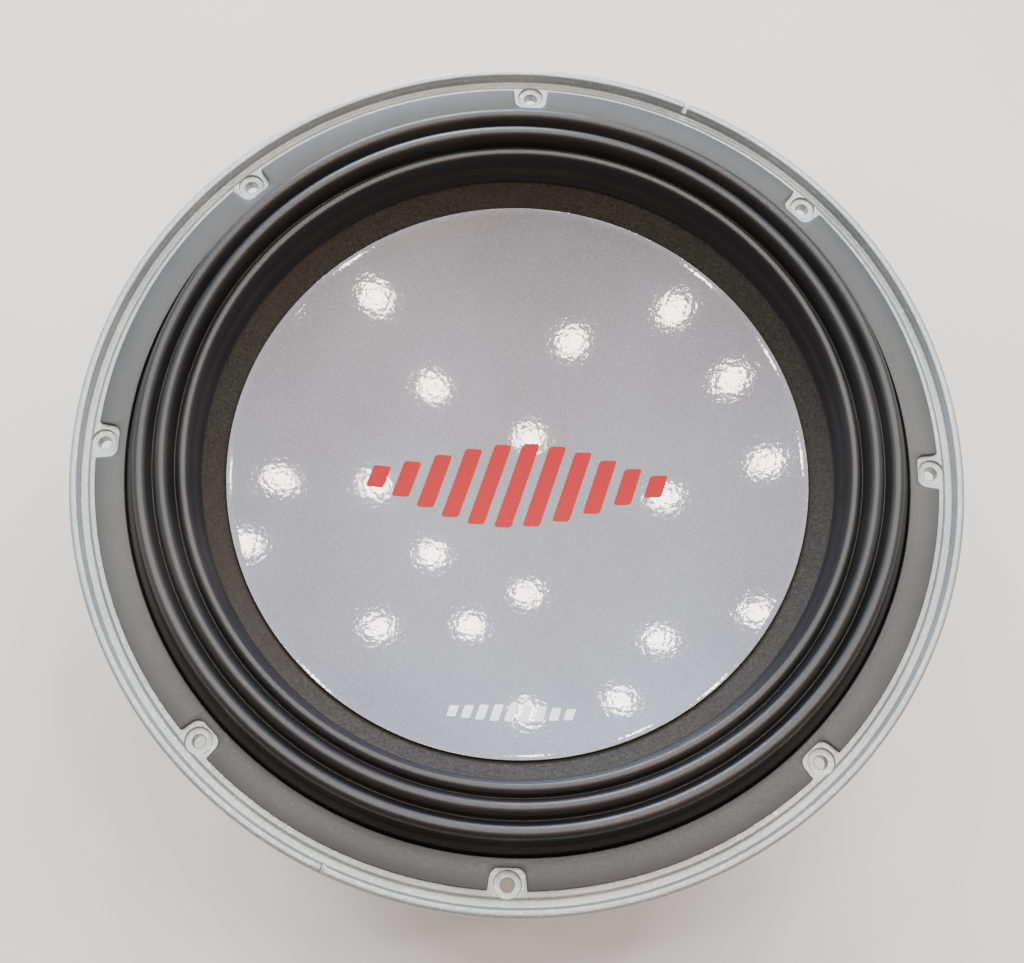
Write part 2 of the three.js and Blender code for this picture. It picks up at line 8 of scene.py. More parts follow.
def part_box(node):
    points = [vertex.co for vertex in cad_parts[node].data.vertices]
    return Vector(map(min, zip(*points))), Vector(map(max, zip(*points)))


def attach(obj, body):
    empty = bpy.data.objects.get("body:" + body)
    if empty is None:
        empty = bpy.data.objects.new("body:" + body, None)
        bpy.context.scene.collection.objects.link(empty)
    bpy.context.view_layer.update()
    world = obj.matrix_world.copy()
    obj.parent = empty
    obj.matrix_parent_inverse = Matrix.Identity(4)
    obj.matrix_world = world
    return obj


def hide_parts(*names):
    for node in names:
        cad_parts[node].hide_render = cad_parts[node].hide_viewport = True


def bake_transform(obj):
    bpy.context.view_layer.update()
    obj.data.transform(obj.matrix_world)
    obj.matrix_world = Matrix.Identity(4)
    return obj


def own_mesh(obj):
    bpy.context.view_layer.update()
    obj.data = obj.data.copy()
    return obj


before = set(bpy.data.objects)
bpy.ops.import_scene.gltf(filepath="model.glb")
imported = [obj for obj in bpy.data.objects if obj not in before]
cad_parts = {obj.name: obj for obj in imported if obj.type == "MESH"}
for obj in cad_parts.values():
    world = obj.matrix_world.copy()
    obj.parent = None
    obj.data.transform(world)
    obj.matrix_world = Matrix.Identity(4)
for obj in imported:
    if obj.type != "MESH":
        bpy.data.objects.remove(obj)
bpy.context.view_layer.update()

# A 15-inch class subwoofer driver, face up on its motor. Metres, +Z along the driver's axis.
MM = 0.001
GAP = 0.3 * MM  # the room between pieces that touch on a real driver

# ---- Places read from the frame ----

FRAME_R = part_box("basket")[1][0]
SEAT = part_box("basket")[0][2]
GASKET_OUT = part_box("trim_gasket")[1][0]
GASKET_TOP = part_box("trim_gasket")[1][2]
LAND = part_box("trim_gasket")[0][2] - GAP  # the face of the flange that the gasket lies on
LANDING = SEAT + 39 * MM  # the spider's seat
CAP_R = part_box("dust_cap")[1][0]
CAP_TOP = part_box("dust_cap")[1][2]
NECK_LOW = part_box("cone")[0][2]
FORMER_LOW, FORMER_TOP = (corner[2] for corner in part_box("coil_former"))
FORMER_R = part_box("coil_former")[1][0]
COIL_LOW, COIL_TOP = (corner[2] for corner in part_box("coil_winding_outer"))
POLE_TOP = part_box("yoke")[1][2]
PLATE_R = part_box("yoke")[1][0]
MAGNET_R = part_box("magnet_rear")[1][0]
TERMINAL_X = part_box("terminal_base_a")[0][0]
TERMINAL_Z = (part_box("terminal_base_a")[0][2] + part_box("terminal_base_a")[1][2]) / 2

# ---- Sizes shared by several pieces ----

FLANGE = LAND - 7 * MM
BOWL_R = FRAME_R - 22.5 * MM
BOLT_R = FRAME_R - 13.5 * MM
BOWL_WALL = 4 * MM
SKIRT_LOW = FLANGE - 14 * MM
WALL_R = 94 * MM  # the lower wall of the basket
WALL_IN = WALL_R - BOWL_WALL
LANDING_IN = WALL_IN - 9 * MM
SEAT_BORE = 52 * MM
SEAT_TOP = SEAT + 5 * MM
SPOKES = 8
GASKET_IN = GASKET_OUT - 13.1 * MM
ROLL_OUT = GASKET_IN - 1 * MM
ROLL_IN = ROLL_OUT - 28.3 * MM
RUBBER = 1.2 * MM
CONE_R = ROLL_IN
CONE_EDGE = LAND - 3 * MM
CONE_DEPTH = 79.5 * MM
CONE_BOW = 12 * MM
CONE_NECK = FORMER_R + GAP
CONE_WALL = 1.2 * MM
CAP_SAG = 27 * MM
CAP_WALL = 1.2 * MM
POLE_R = 36.8 * MM
VENT_R = 15 * MM
BACK_TOP = 12 * MM  # the front face of the back plate
PLATE_BORE = 42.2 * MM
FLUX_RING_R = 43.3 * MM
MAGNET_BORE = 47 * MM
POST_Y = 11 * MM
SCREW_Y = 22 * MM
BRACKET_X = 96 * MM
BRACKET_WALL = 4 * MM

# ---- Nodes ----


def linear(colour):
    """An sRGB hex colour as a linear RGBA tuple."""
    parts = [int(colour[i:i + 2], 16) / 255 for i in (1, 3, 5)]
    return tuple(c / 12.92 if c <= 0.04045 else ((c + 0.055) / 1.055) ** 2.4 for c in parts) + (1.0,)


def per(size):
    """The texture scale whose features are about this many millimetres across."""
    return 1 / (size * MM)


def feed(tree, node, inputs):
    """Sets a node's inputs: each is a value, or (node, output) for a link."""
    for name, value in inputs.items():
        if isinstance(value, tuple) and isinstance(value[0], bpy.types.Node):
            tree.links.new(value[0].outputs[value[1]], node.inputs[name])
        else:
            node.inputs[name].default_value = value


def add(tree, kind, inputs, **settings):
    """A new node with its settings, values and links."""
    made = tree.nodes.new(kind)
    for name, value in settings.items():
        setattr(made, name, value)
    feed(tree, made, inputs)
    return made


def surface(name, colour, roughness, **sockets):
    """A material with its even values on the shader. The last item returned places its patterns."""
    made = bpy.data.materials.new(name)
    made.use_nodes = True
    made.diffuse_color = linear(colour)
    tree = made.node_tree
    shader = tree.nodes["Principled BSDF"]
    feed(tree, shader, {"Base Color": linear(colour), "Roughness": roughness})
    feed(tree, shader, {key.replace("_", " "): value for key, value in sockets.items()})
    place = add(tree, "ShaderNodeTexCoord", {})
    return made, tree, shader, {"Vector": (place, "Object")}


def between(tree, amount, low, high, first, second):
    """A colour that goes from first to second as a node's output goes from low to high."""
    part = add(tree, "ShaderNodeMapRange", {"Value": amount, "From Min": low, "From Max": high})
    return add(
        tree, "ShaderNodeMix", {0: (part, 0), 6: linear(first), 7: linear(second)}, data_type="RGBA")


# ---- Finishes ----


def hammered_silver_paint():
    """Aluminium powder coat baked on a rough die casting: a dimpled skin in which single flakes glint."""
    made, tree, shader, at = surface("hammered_silver_paint", "#9ea3a6", 0.36, Metallic=0.5)
    skin = add(tree, "ShaderNodeTexNoise", {**at, "Scale": per(1.7), "Detail": 4.0, "Roughness": 0.6})
    flake = add(tree, "ShaderNodeTexVoronoi", {**at, "Scale": per(0.8)})
    cloud = add(tree, "ShaderNodeTexNoise", {**at, "Scale": per(45), "Detail": 3.0})
    glint = add(tree, "ShaderNodeSeparateColor", {"Color": (flake, "Color")})
    tone = between(tree, (cloud, 0), 0.35, 0.65, "#999ea1", "#a9adaf")
    bright = add(
        tree, "ShaderNodeMapRange", {"Value": (glint, 0), "From Min": 0.8, "From Max": 1.0, "To Max": 0.5})
    colour = add(
        tree, "ShaderNodeMix", {0: (bright, 0), 6: (tone, 2), 7: linear("#d4d7da")}, data_type="RGBA")
    rough = add(tree, "ShaderNodeMapRange", {"Value": (glint, 1), "To Min": 0.28, "To Max": 0.46})
    dimple = add(tree, "ShaderNodeBump", {"Height": (skin, 0), "Strength": 0.4, "Distance": 0.25 * MM})
    grain = add(
        tree, "ShaderNodeBump",
        {"Height": (glint, 2), "Strength": 0.2, "Distance": 0.1 * MM, "Normal": (dimple, 0)})
    feed(tree, shader, {"Base Color": (colour, 2), "Roughness": (rough, 0), "Normal": (grain, 0)})
    return made


def moulded_rubber(name, dark, light, roughness, grain):
    """Butyl or nitrile rubber from a spark-eroded mould: an even satin grain, with a faint dusty bloom."""
    made, tree, shader, at = surface(name, dark, roughness, Specular_IOR_Level=0.65)
    pores = add(tree, "ShaderNodeTexNoise", {**at, "Scale": per(grain), "Detail": 3.0})
    cloud = add(tree, "ShaderNodeTexNoise", {**at, "Scale": per(30), "Detail": 5.0, "Roughness": 0.6})
    bloom = add(tree, "ShaderNodeTexNoise", {**at, "Scale": per(90), "Detail": 2.0})
    tone = between(tree, (cloud, 0), 0.3, 0.7, dark, light)
    dusty = add(
        tree, "ShaderNodeMapRange",
        {"Value": (bloom, 0), "From Min": 0.52, "From Max": 0.75, "To Max": 0.12})
    colour = add(
        tree, "ShaderNodeMix", {0: (dusty, 0), 6: (tone, 2), 7: linear("#6a6761")}, data_type="RGBA")
    rough = add(
        tree, "ShaderNodeMapRange",
        {"Value": (pores, 0), "From Min": 0.3, "From Max": 0.7,
         "To Min": roughness - 0.07, "To Max": roughness + 0.07})
    skin = add(tree, "ShaderNodeBump", {"Height": (pores, 0), "Strength": 0.25, "Distance": 0.12 * MM})
    feed(tree, shader, {"Base Color": (colour, 2), "Roughness": (rough, 0), "Normal": (skin, 0)})
    return made


def pressed_pulp():
    """Black-dyed paper pulp, felted on a screen: short fibres and specks, dead matt, browner in patches."""
    made, tree, shader, at = surface("pressed_pulp", "#3c3a38", 0.82, Specular_IOR_Level=0.3)
    felt = add(tree, "ShaderNodeTexNoise", {**at, "Scale": per(1.1), "Detail": 6.0, "Roughness": 0.7})
    swirl = add(tree, "ShaderNodeTexNoise", {**at, "Scale": per(3), "Detail": 4.0, "Distortion": 2.5})
    patch = add(tree, "ShaderNodeTexNoise", {**at, "Scale": per(70), "Detail": 2.0})
    fibres = add(tree, "ShaderNodeMath", {0: (felt, 0), 1: (swirl, 0)}, operation="ADD")
    tone = between(tree, (fibres, 0), 0.75, 1.25, "#262523", "#454340")
    brown = add(
        tree, "ShaderNodeMapRange",
        {"Value": (patch, 0), "From Min": 0.45, "From Max": 0.7, "To Max": 0.5})
    colour = add(
        tree, "ShaderNodeMix", {0: (brown, 0), 6: (tone, 2), 7: linear("#3b302a")}, data_type="RGBA")
    nap = add(tree, "ShaderNodeBump", {"Height": (fibres, 0), "Strength": 0.5, "Distance": 0.25 * MM})
    feed(tree, shader, {"Base Color": (colour, 2), "Normal": (nap, 0)})
    return made


def pearl_lacquer():
    """Silver pearl under clear lacquer: mica flakes for sparkle, and orange peel that frays reflections."""
    made, tree, shader, at = surface(
        "pearl_lacquer", "#74757c", 0.42, Metallic=0.4, Coat_Weight=1.0, Coat_Roughness=0.05)
    flake = add(tree, "ShaderNodeTexVoronoi", {**at, "Scale": per(0.5)})
    mica = add(tree, "ShaderNodeSeparateColor", {"Color": (flake, "Color")})
    peel = add(tree, "ShaderNodeTexNoise", {**at, "Scale": per(2.4), "Detail": 2.0, "Roughness": 0.4})
    cloud = add(tree, "ShaderNodeTexNoise", {**at, "Scale": per(80), "Detail": 2.0})
    tone = between(tree, (cloud, 0), 0.3, 0.7, "#717077", "#7d7e87")
    bright = add(
        tree, "ShaderNodeMapRange", {"Value": (mica, 0), "From Min": 0.6, "From Max": 1.0, "To Max": 0.22})
    colour = add(
        tree, "ShaderNodeMix", {0: (bright, 0), 6: (tone, 2), 7: linear("#b9bac4")}, data_type="RGBA")
    tilt = add(tree, "ShaderNodeBump", {"Height": (mica, 1), "Strength": 0.15, "Distance": 0.06 * MM})
    skin = add(tree, "ShaderNodeBump", {"Height": (peel, 0), "Strength": 0.26, "Distance": 0.12 * MM})
    feed(tree, shader, {"Base Color": (colour, 2), "Normal": (tilt, 0), "Coat Normal": (skin, 0)})
    return made


def screen_ink(name, colour, worn):
    """Screen-printed ink: an opaque film, a little duller than the lacquer round it, thin in specks."""
    made, tree, shader, at = surface(name, colour, 0.45, Specular_IOR_Level=0.25)
    speck = add(tree, "ShaderNodeTexNoise", {**at, "Scale": per(1.3), "Detail": 4.0})
    tone = between(tree, (speck, 0), 0.3, 0.75, colour, worn)
    film = add(tree, "ShaderNodeBump", {"Height": (speck, 0), "Strength": 0.1, "Distance": 0.05 * MM})
    feed(tree, shader, {"Base Color": (tone, 2), "Normal": (film, 0)})
    return made


def zinc_plate():
    """Turned mild steel under bright zinc: fine tool rings, and a faint yellow and blue passivation."""
    made, tree, shader, at = surface("zinc_plated_steel", "#a9abae", 0.3, Metallic=1.0)
    rings = add(
        tree, "ShaderNodeTexWave", {**at, "Scale": per(2.2), "Distortion": 0.4, "Detail": 2.0},
        wave_type="RINGS", rings_direction="Z")
    cloud = add(tree, "ShaderNodeTexNoise", {**at, "Scale": per(24), "Detail": 3.0})
    tone = between(tree, (cloud, 0), 0.35, 0.65, "#a1a5ac", "#b3b0a4")
    rough = add(tree, "ShaderNodeMapRange", {"Value": (cloud, 0), "To Min": 0.2, "To Max": 0.42})
    cut = add(tree, "ShaderNodeBump", {"Height": (rings, 1), "Strength": 0.12, "Distance": 0.05 * MM})
    feed(tree, shader, {"Base Color": (tone, 2), "Roughness": (rough, 0), "Normal": (cut, 0)})
    return made


def bare_aluminium():
    """Rolled aluminium, left bare: bright, with fine scratches along the roll."""
    made, tree, shader, at = surface("bare_aluminium", "#c6c8cb", 0.28, Metallic=1.0)
    lines = add(tree, "ShaderNodeMapping", {**at, "Scale": (1.0, 1.0, 14.0)})
    scratch = add(tree, "ShaderNodeTexNoise", {"Vector": (lines, 0), "Scale": per(6), "Detail": 5.0})
    rough = add(tree, "ShaderNodeMapRange", {"Value": (scratch, 0), "To Min": 0.18, "To Max": 0.42})
    nick = add(tree, "ShaderNodeBump", {"Height": (scratch, 0), "Strength": 0.1, "Distance": 0.04 * MM})
    feed(tree, shader, {"Roughness": (rough, 0), "Normal": (nick, 0)})
    return made


def sintered_ferrite():
    """Sintered ferrite: charcoal, gritty like stone, with dull grinding marks on its faces."""
    made, tree, shader, at = surface("sintered_ferrite", "#2b2b2d", 0.6, Specular_IOR_Level=0.6)
    grit = add(tree, "ShaderNodeTexNoise", {**at, "Scale": per(0.9), "Detail": 6.0})
    tone = between(tree, (grit, 0), 0.3, 0.7, "#252527", "#39383a")
    rough = add(tree, "ShaderNodeMapRange", {"Value": (grit, 0), "To Min": 0.42, "To Max": 0.75})
    skin = add(tree, "ShaderNodeBump", {"Height": (grit, 0), "Strength": 0.4, "Distance": 0.15 * MM})
    feed(tree, shader, {"Base Color": (tone, 2), "Roughness": (rough, 0), "Normal": (skin, 0)})
    return made


def enamelled_copper():
    """Round magnet wire in amber enamel, laid turn by turn: bright ridges with dark lines between."""
    made, tree, shader, at = surface(
        "enamelled_copper_wire", "#a8552a", 0.26, Metallic=1.0, Coat_Weight=0.8, Coat_Roughness=0.1)
    streak = add(tree, "ShaderNodeTexNoise", {**at, "Scale": per(5), "Detail": 3.0})
    tone = between(tree, (streak, 0), 0.3, 0.7, "#97481f", "#c47540")
    feed(tree, shader, {"Base Color": (tone, 2)})
    return made


def phenolic_cloth():
    """Cotton in plain weave, stiffened with resin: amber threads that cross, darker where resin pooled."""
    made, tree, shader, at = surface("phenolic_cloth", "#a98a52", 0.62, Sheen_Weight=0.15)
    # A wave repeats 3.2 times in its scale. The real threads are about 0.5 mm apart, and these are
    # drawn 1.1 mm apart so that they show.
    warp = add(tree, "ShaderNodeTexWave", {**at, "Scale": per(3.45)}, bands_direction="X")
    weft = add(tree, "ShaderNodeTexWave", {**at, "Scale": per(3.45)}, bands_direction="Y")
    weave = add(tree, "ShaderNodeMath", {0: (warp, 1), 1: (weft, 1)}, operation="MULTIPLY")
    resin = add(tree, "ShaderNodeTexNoise", {**at, "Scale": per(14), "Detail": 4.0})
    cloth = between(tree, (weave, 0), 0.0, 0.7, "#7d6233", "#c0a168")
    pooled = add(
        tree, "ShaderNodeMapRange",
        {"Value": (resin, 0), "From Min": 0.5, "From Max": 0.72, "To Max": 0.5})
    colour = add(
        tree, "ShaderNodeMix", {0: (pooled, 0), 6: (cloth, 2), 7: linear("#6d5228")}, data_type="RGBA")
    thread = add(tree, "ShaderNodeBump", {"Height": (weave, 0), "Strength": 0.6, "Distance": 0.25 * MM})
    feed(tree, shader, {"Base Color": (colour, 2), "Normal": (thread, 0)})
    return made


def moulded_plastic(name, colour, light, roughness):
    """Injection-moulded nylon or acetal: even colour, a fine etched skin and slight flow marks."""
    made, tree, shader, at = surface(name, colour, roughness)
    etch = add(tree, "ShaderNodeTexNoise", {**at, "Scale": per(0.4), "Detail": 2.0})
    flow = add(tree, "ShaderNodeTexNoise", {**at, "Scale": per(9), "Detail": 3.0, "Distortion": 1.5})
    tone = between(tree, (flow, 0), 0.3, 0.7, colour, light)
    skin = add(tree, "ShaderNodeBump", {"Height": (etch, 0), "Strength": 0.2, "Distance": 0.05 * MM})
    feed(tree, shader, {"Base Color": (tone, 2), "Normal": (skin, 0)})
    return made


def tinned_brass():
    """Brass strip dipped in tin: pale gold that shows through a soft silver film."""
    made, tree, shader, at = surface("tinned_brass", "#c2b58e", 0.32, Metallic=1.0)
    film = add(tree, "ShaderNodeTexNoise", {**at, "Scale": per(3), "Detail": 4.0})
    tone = between(tree, (film, 0), 0.35, 0.65, "#c9c6bb", "#b99b55")
    rough = add(tree, "ShaderNodeMapRange", {"Value": (film, 0), "To Min": 0.2, "To Max": 0.45})
    feed(tree, shader, {"Base Color": (tone, 2), "Roughness": (rough, 0)})
    return made


def tinsel_braid():
    """Copper tinsel braided over thread and tinned: bright strands that cross in a fine herringbone."""
    made, tree, shader, _ = surface("tinsel_braid", "#b8a37c", 0.34, Metallic=0.85)
    place = add(tree, "ShaderNodeTexCoord", {})
    left = add(tree, "ShaderNodeMapping", {"Vector": (place, "UV"), "Rotation": (0.0, 0.0, 0.7)})
    right = add(tree, "ShaderNodeMapping", {"Vector": (place, "UV"), "Rotation": (0.0, 0.0, -0.7)})
    # UV runs in millimetres here, and the strands repeat every 0.6 mm.
    one = add(tree, "ShaderNodeTexWave", {"Vector": (left, 0), "Scale": 0.52}, bands_direction="X")
    two = add(tree, "ShaderNodeTexWave", {"Vector": (right, 0), "Scale": 0.52}, bands_direction="X")
    strands = add(tree, "ShaderNodeMath", {0: (one, 1), 1: (two, 1)}, operation="MAXIMUM")
    tone = between(tree, (strands, 0), 0.3, 1.0, "#6b5638", "#d3c4a2")
    braid = add(tree, "ShaderNodeBump", {"Height": (strands, 0), "Strength": 0.8, "Distance": 0.25 * MM})
    feed(tree, shader, {"Base Color": (tone, 2), "Normal": (braid, 0)})
    return made


def rubber_cement():
    """Black contact cement laid by a nozzle: a glossy bead that rises and sinks a little."""
    made, tree, shader, at = surface("rubber_cement", "#141312", 0.22)
    lumps = add(tree, "ShaderNodeTexNoise", {**at, "Scale": per(7), "Detail": 2.0})
    bead = add(tree, "ShaderNodeBump", {"Height": (lumps, 0), "Strength": 0.6, "Distance": 0.5 * MM})
    feed(tree, shader, {"Normal": (bead, 0)})
    return made


def pale_cloth():
    """An off-white cotton cloth on a bench, laid flat, with the shade of soft folds painted in as tone."""
    made, tree, shader, at = surface("pale_cloth", "#efece6", 0.9)
    # Painted shade: broad soft patches, darker and lighter, stand in for the light and shade of folds in
    # the cloth.
    painted_fold_shade = add(tree, "ShaderNodeTexNoise", {**at, "Scale": 3.0, "Detail": 4.0})
    tone = between(tree, (painted_fold_shade, 0), 0.35, 0.7, "#eae6df", "#f3f1ec")
    feed(tree, shader, {"Base Color": (tone, 2)})
    return made


# ---- Modelling ----


def rounded(bm, geom, width, segments, affect):
    bmesh.ops.bevel(
        bm, geom=geom, offset=width, offset_type="OFFSET", segments=segments, profile=0.5,
        affect=affect, clamp_overlap=affect == "EDGES", material=-1)
    return bm


def wire(points, closed=True, plane="rz"):
    """A line through (a, b, rounding) points in the x-z or the x-y plane, with rounded corners."""
    bm = bmesh.new()
    corners = [bm.verts.new((a, 0, b) if plane == "rz" else (a, b, 0)) for a, b, _ in points]
    count = len(corners)
    for i in range(count if closed else count - 1):
        bm.edges.new((corners[i], corners[(i + 1) % count]))
    for corner, (_, _, rounding) in zip(corners, points):
        if rounding:
            rounded(bm, [corner], rounding, 5, "VERTICES")
    return bm


def spun(bm, steps=192):
    """The line in bm turned once about Z."""
    bmesh.ops.spin(
        bm, geom=bm.verts[:] + bm.edges[:], axis=(0, 0, 1), cent=(0, 0, 0),
        angle=2 * math.pi, steps=steps, use_merge=True)
    bmesh.ops.remove_doubles(bm, verts=bm.verts[:], dist=1e-6)
    bmesh.ops.dissolve_degenerate(bm, edges=bm.edges[:], dist=1e-7)
    bmesh.ops.delete(bm, geom=[edge for edge in bm.edges if not edge.link_faces], context="EDGES")
    bmesh.ops.recalc_face_normals(bm, faces=bm.faces[:])
    return bm


def walled(bm, thickness):
    """A sheet given an even wall, on the side that its faces turn away from."""
    bmesh.ops.solidify(bm, geom=bm.faces[:], thickness=thickness)
    bmesh.ops.recalc_face_normals(bm, faces=bm.faces[:])
    return bm


def turned(points, steps=192):
    """A solid ring or disc from a closed (radius, z, rounding) outline."""
    return spun(wire(points), steps)


def band(inner, outer, low, high, ease=(0, 0), steps=192):
    """A solid ring of rectangular section: ease rounds its inner and its outer corners."""
    return turned([
        (inner, low, ease[0]), (outer, low, ease[1]), (outer, high, ease[1]), (inner, high, ease[0])],
        steps)


def pushed(bm, depth):
    """A closed line in the x-y plane, filled and pushed up along Z."""
    bmesh.ops.contextual_create(bm, geom=bm.edges[:])
    swept = bmesh.ops.extrude_face_region(bm, geom=bm.faces[:])["geom"]
    bmesh.ops.translate(
        bm, vec=(0, 0, depth), verts=[part for part in swept if isinstance(part, bmesh.types.BMVert)])
    bmesh.ops.recalc_face_normals(bm, faces=bm.faces[:])
    return bm


def block(low, high):
    """A box from its lowest to its highest corner."""
    size = [b - a for a, b in zip(low, high)]
    middle = [(a + b) / 2 for a, b in zip(low, high)]
    bm = bmesh.new()
    bmesh.ops.create_cube(bm, size=1)
    return moved(bm, Matrix.Translation(middle) @ Matrix.Diagonal((*size, 1)))


def rod(radius, low, high, sides=48):
    """A solid rod along Z."""
    bm = bmesh.new()
    bmesh.ops.create_cone(
        bm, cap_ends=True, segments=sides, radius1=radius, radius2=radius, depth=high - low)
    return shifted(bm, 0, 0, (low + high) / 2)


def moved(bm, matrix):
    bmesh.ops.transform(bm, matrix=matrix, verts=bm.verts[:])
    return bm


def shifted(bm, x, y, z):
    return moved(bm, Matrix.Translation((x, y, z)))


def about(angle):
    return Matrix.Rotation(angle, 4, "Z")


def along_x(y, z):
    """Turns a shape made along Z to lie along X, in line with y and z."""
    return Matrix.Translation((0, y, z)) @ Matrix.Rotation(math.pi / 2, 4, "Y")


def slab_x(low, top, side, corner, near, depth):
    """A slab with round corners that faces X: low to top in z, as far as side each way in y."""
    outline = [(low, -side, corner), (top, -side, corner), (top, side, corner), (low, side, corner)]
    bm = pushed(wire(outline, plane="xy"), depth)
    return moved(bm, Matrix.Translation((near + depth, 0, 0)) @ Matrix.Rotation(-math.pi / 2, 4, "Y"))


def gathered(parts):
    """One bmesh that holds several."""
    whole = bmesh.new()
    for part in parts:
        mesh = bpy.data.meshes.new("part")
        part.to_mesh(mesh)
        part.free()
        whole.from_mesh(mesh)
        bpy.data.meshes.remove(mesh)
    return whole


def round_copies(make, count, start=0.0):
    """Copies of a shape round Z: make is called once for each."""
    return [moved(make(), about(start + 2 * math.pi * i / count)) for i in range(count)]


def placed(name, data):
    made = bpy.data.objects.new(name, data)
    bpy.context.scene.collection.objects.link(made)
    return made


def carved(bm, others, operation="DIFFERENCE"):
    """bm with other solids cut from it, or joined to it."""
    objects = []
    for part in (bm, gathered(others)):
        mesh = bpy.data.meshes.new("carving")
        part.to_mesh(mesh)
        part.free()
        objects.append(placed("carving", mesh))
    change = objects[0].modifiers.new("carve", "BOOLEAN")
    change.operation = operation
    change.solver = "EXACT"
    change.use_self = operation == "UNION"
    change.object = objects[1]
    done = objects[0].evaluated_get(bpy.context.evaluated_depsgraph_get())
    whole = bmesh.new()
    whole.from_mesh(done.data)
    for made in objects:
        mesh = made.data
        bpy.data.objects.remove(made)
        bpy.data.meshes.remove(mesh)
    bmesh.ops.remove_doubles(whole, verts=whole.verts[:], dist=2e-6)
    bmesh.ops.dissolve_degenerate(whole, edges=whole.edges[:], dist=1e-6)
    return whole


def eased(bm, width):
    """The edges where faces meet at more than 50 degrees, rounded a little."""
    sharp = [
        edge for edge in bm.edges
        if len(edge.link_faces) == 2 and edge.calc_face_angle(0) > math.radians(50)]
    return rounded(bm, sharp, width, 2, "EDGES")


def piece(name, bm, finish, body, nodes=(), sharp=35):
    """A finished object at the origin: it rides on a body and stands for CAD nodes."""
    mesh = bpy.data.meshes.new(name)
    bm.to_mesh(mesh)
    bm.free()
    mesh.materials.append(finish)
    mesh.shade_smooth()
    mesh.set_sharp_from_angle(angle=math.radians(sharp))
    made = placed(name, mesh)
    if nodes:
        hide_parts(*nodes)
    if body:
        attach(made, body)
    return made


def radial_blend(made, outer, inner):
    """Between the frame and the cone: bakes the piece's place into its mesh and works out, for each vertex,
    its share of the way in from the outer radius to the inner one, but keeps none of the shares.
    """
    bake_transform(made)
    for vertex in made.data.vertices:
        part = (outer - math.hypot(vertex.co.x, vertex.co.y)) / (outer - inner)
        part = min(max(part, 0.0), 1.0)


# ---- Camera, lights and floor ----


def stand_camera():
    data = bpy.data.cameras.new("camera")
    data.sensor_width = 36
    data.lens = 52.75
    data.clip_end = 20
    made = placed("camera", data)
    tilt = Euler([math.radians(angle) for angle in (18.3564, -1.675, 1.6941)])
    made.matrix_world = Matrix.LocRotScale((-0.0155, -0.2221, LAND + 0.6327), tilt, None)
    bpy.context.scene.camera = made


def area_light(name, place, size, power, colour):
    """A round soft light that faces the driver."""
    data = bpy.data.lights.new(name, "AREA")
    data.shape = "DISK"
    data.size = size
    data.energy = power
    data.color = linear(colour)[:3]
    made = placed(name, data)
    made.location = place
    aim = Vector((0, 0, LAND)) - Vector(place)
    made.rotation_euler = aim.to_track_quat("-Z", "Y").to_euler()


def light_studio():
    """A hall that is pale overhead and beyond, dim behind the viewer, with loose rows of round lamps."""
    world = bpy.data.worlds.new("studio")
    bpy.context.scene.world = world
    world.use_nodes = True
    tree = world.node_tree
    place = add(tree, "ShaderNodeTexCoord", {})
    way = add(tree, "ShaderNodeSeparateXYZ", {"Vector": (place, "Generated")})
    sky = between(tree, (way, 1), -0.35, 0.1, "#7a7673", "#f2f2f0")
    cool = add(tree, "ShaderNodeMapRange", {"Value": (way, 1), "From Min": 0.3, "From Max": 0.85})
    glow = add(
        tree, "ShaderNodeMix", {0: (cool, 0), 6: (sky, 2), 7: linear("#c3d6ff")}, data_type="RGBA")
    feed(tree, tree.nodes["Background"], {"Color": (glow, 2), "Strength": 1.15})
    area_light("window", (-0.5, 2.6, 1.1), 1.4, 110, "#e9efff")
    area_light("warm_lamp", (0.75, -0.85, 2.5), 1.0, 9, "#ffa58c")
    for row in range(6):
        for column in range(6):
            if (3 * row + 5 * column) % 7 < 3:
                continue
            x = (column - 2.4 + 0.4 * (row % 2)) * 0.6
            y = row * 0.62 - 0.25 + 0.14 * (column % 3)
            area_light(f"lamp_{row}_{column}", (x, y, 3.2), 0.17, 8, "#fffaf0")


def lay_floor():
    bm = bmesh.new()
    bmesh.ops.create_grid(bm, x_segments=1, y_segments=1, size=4)
    piece("floor", bm, pale_cloth(), None)


# ---- Basket ----


def bowl_line(out):
    """The lower and upper end of the sloping spokes' outer face, moved outwards by a distance."""
    low = Vector((WALL_R, LANDING - BOWL_WALL / 2))
    high = Vector((BOWL_R - BOWL_WALL, FLANGE - 22 * MM))
    across = Vector((high.y - low.y, low.x - high.x)).normalized() * out
    return low + across, high + across


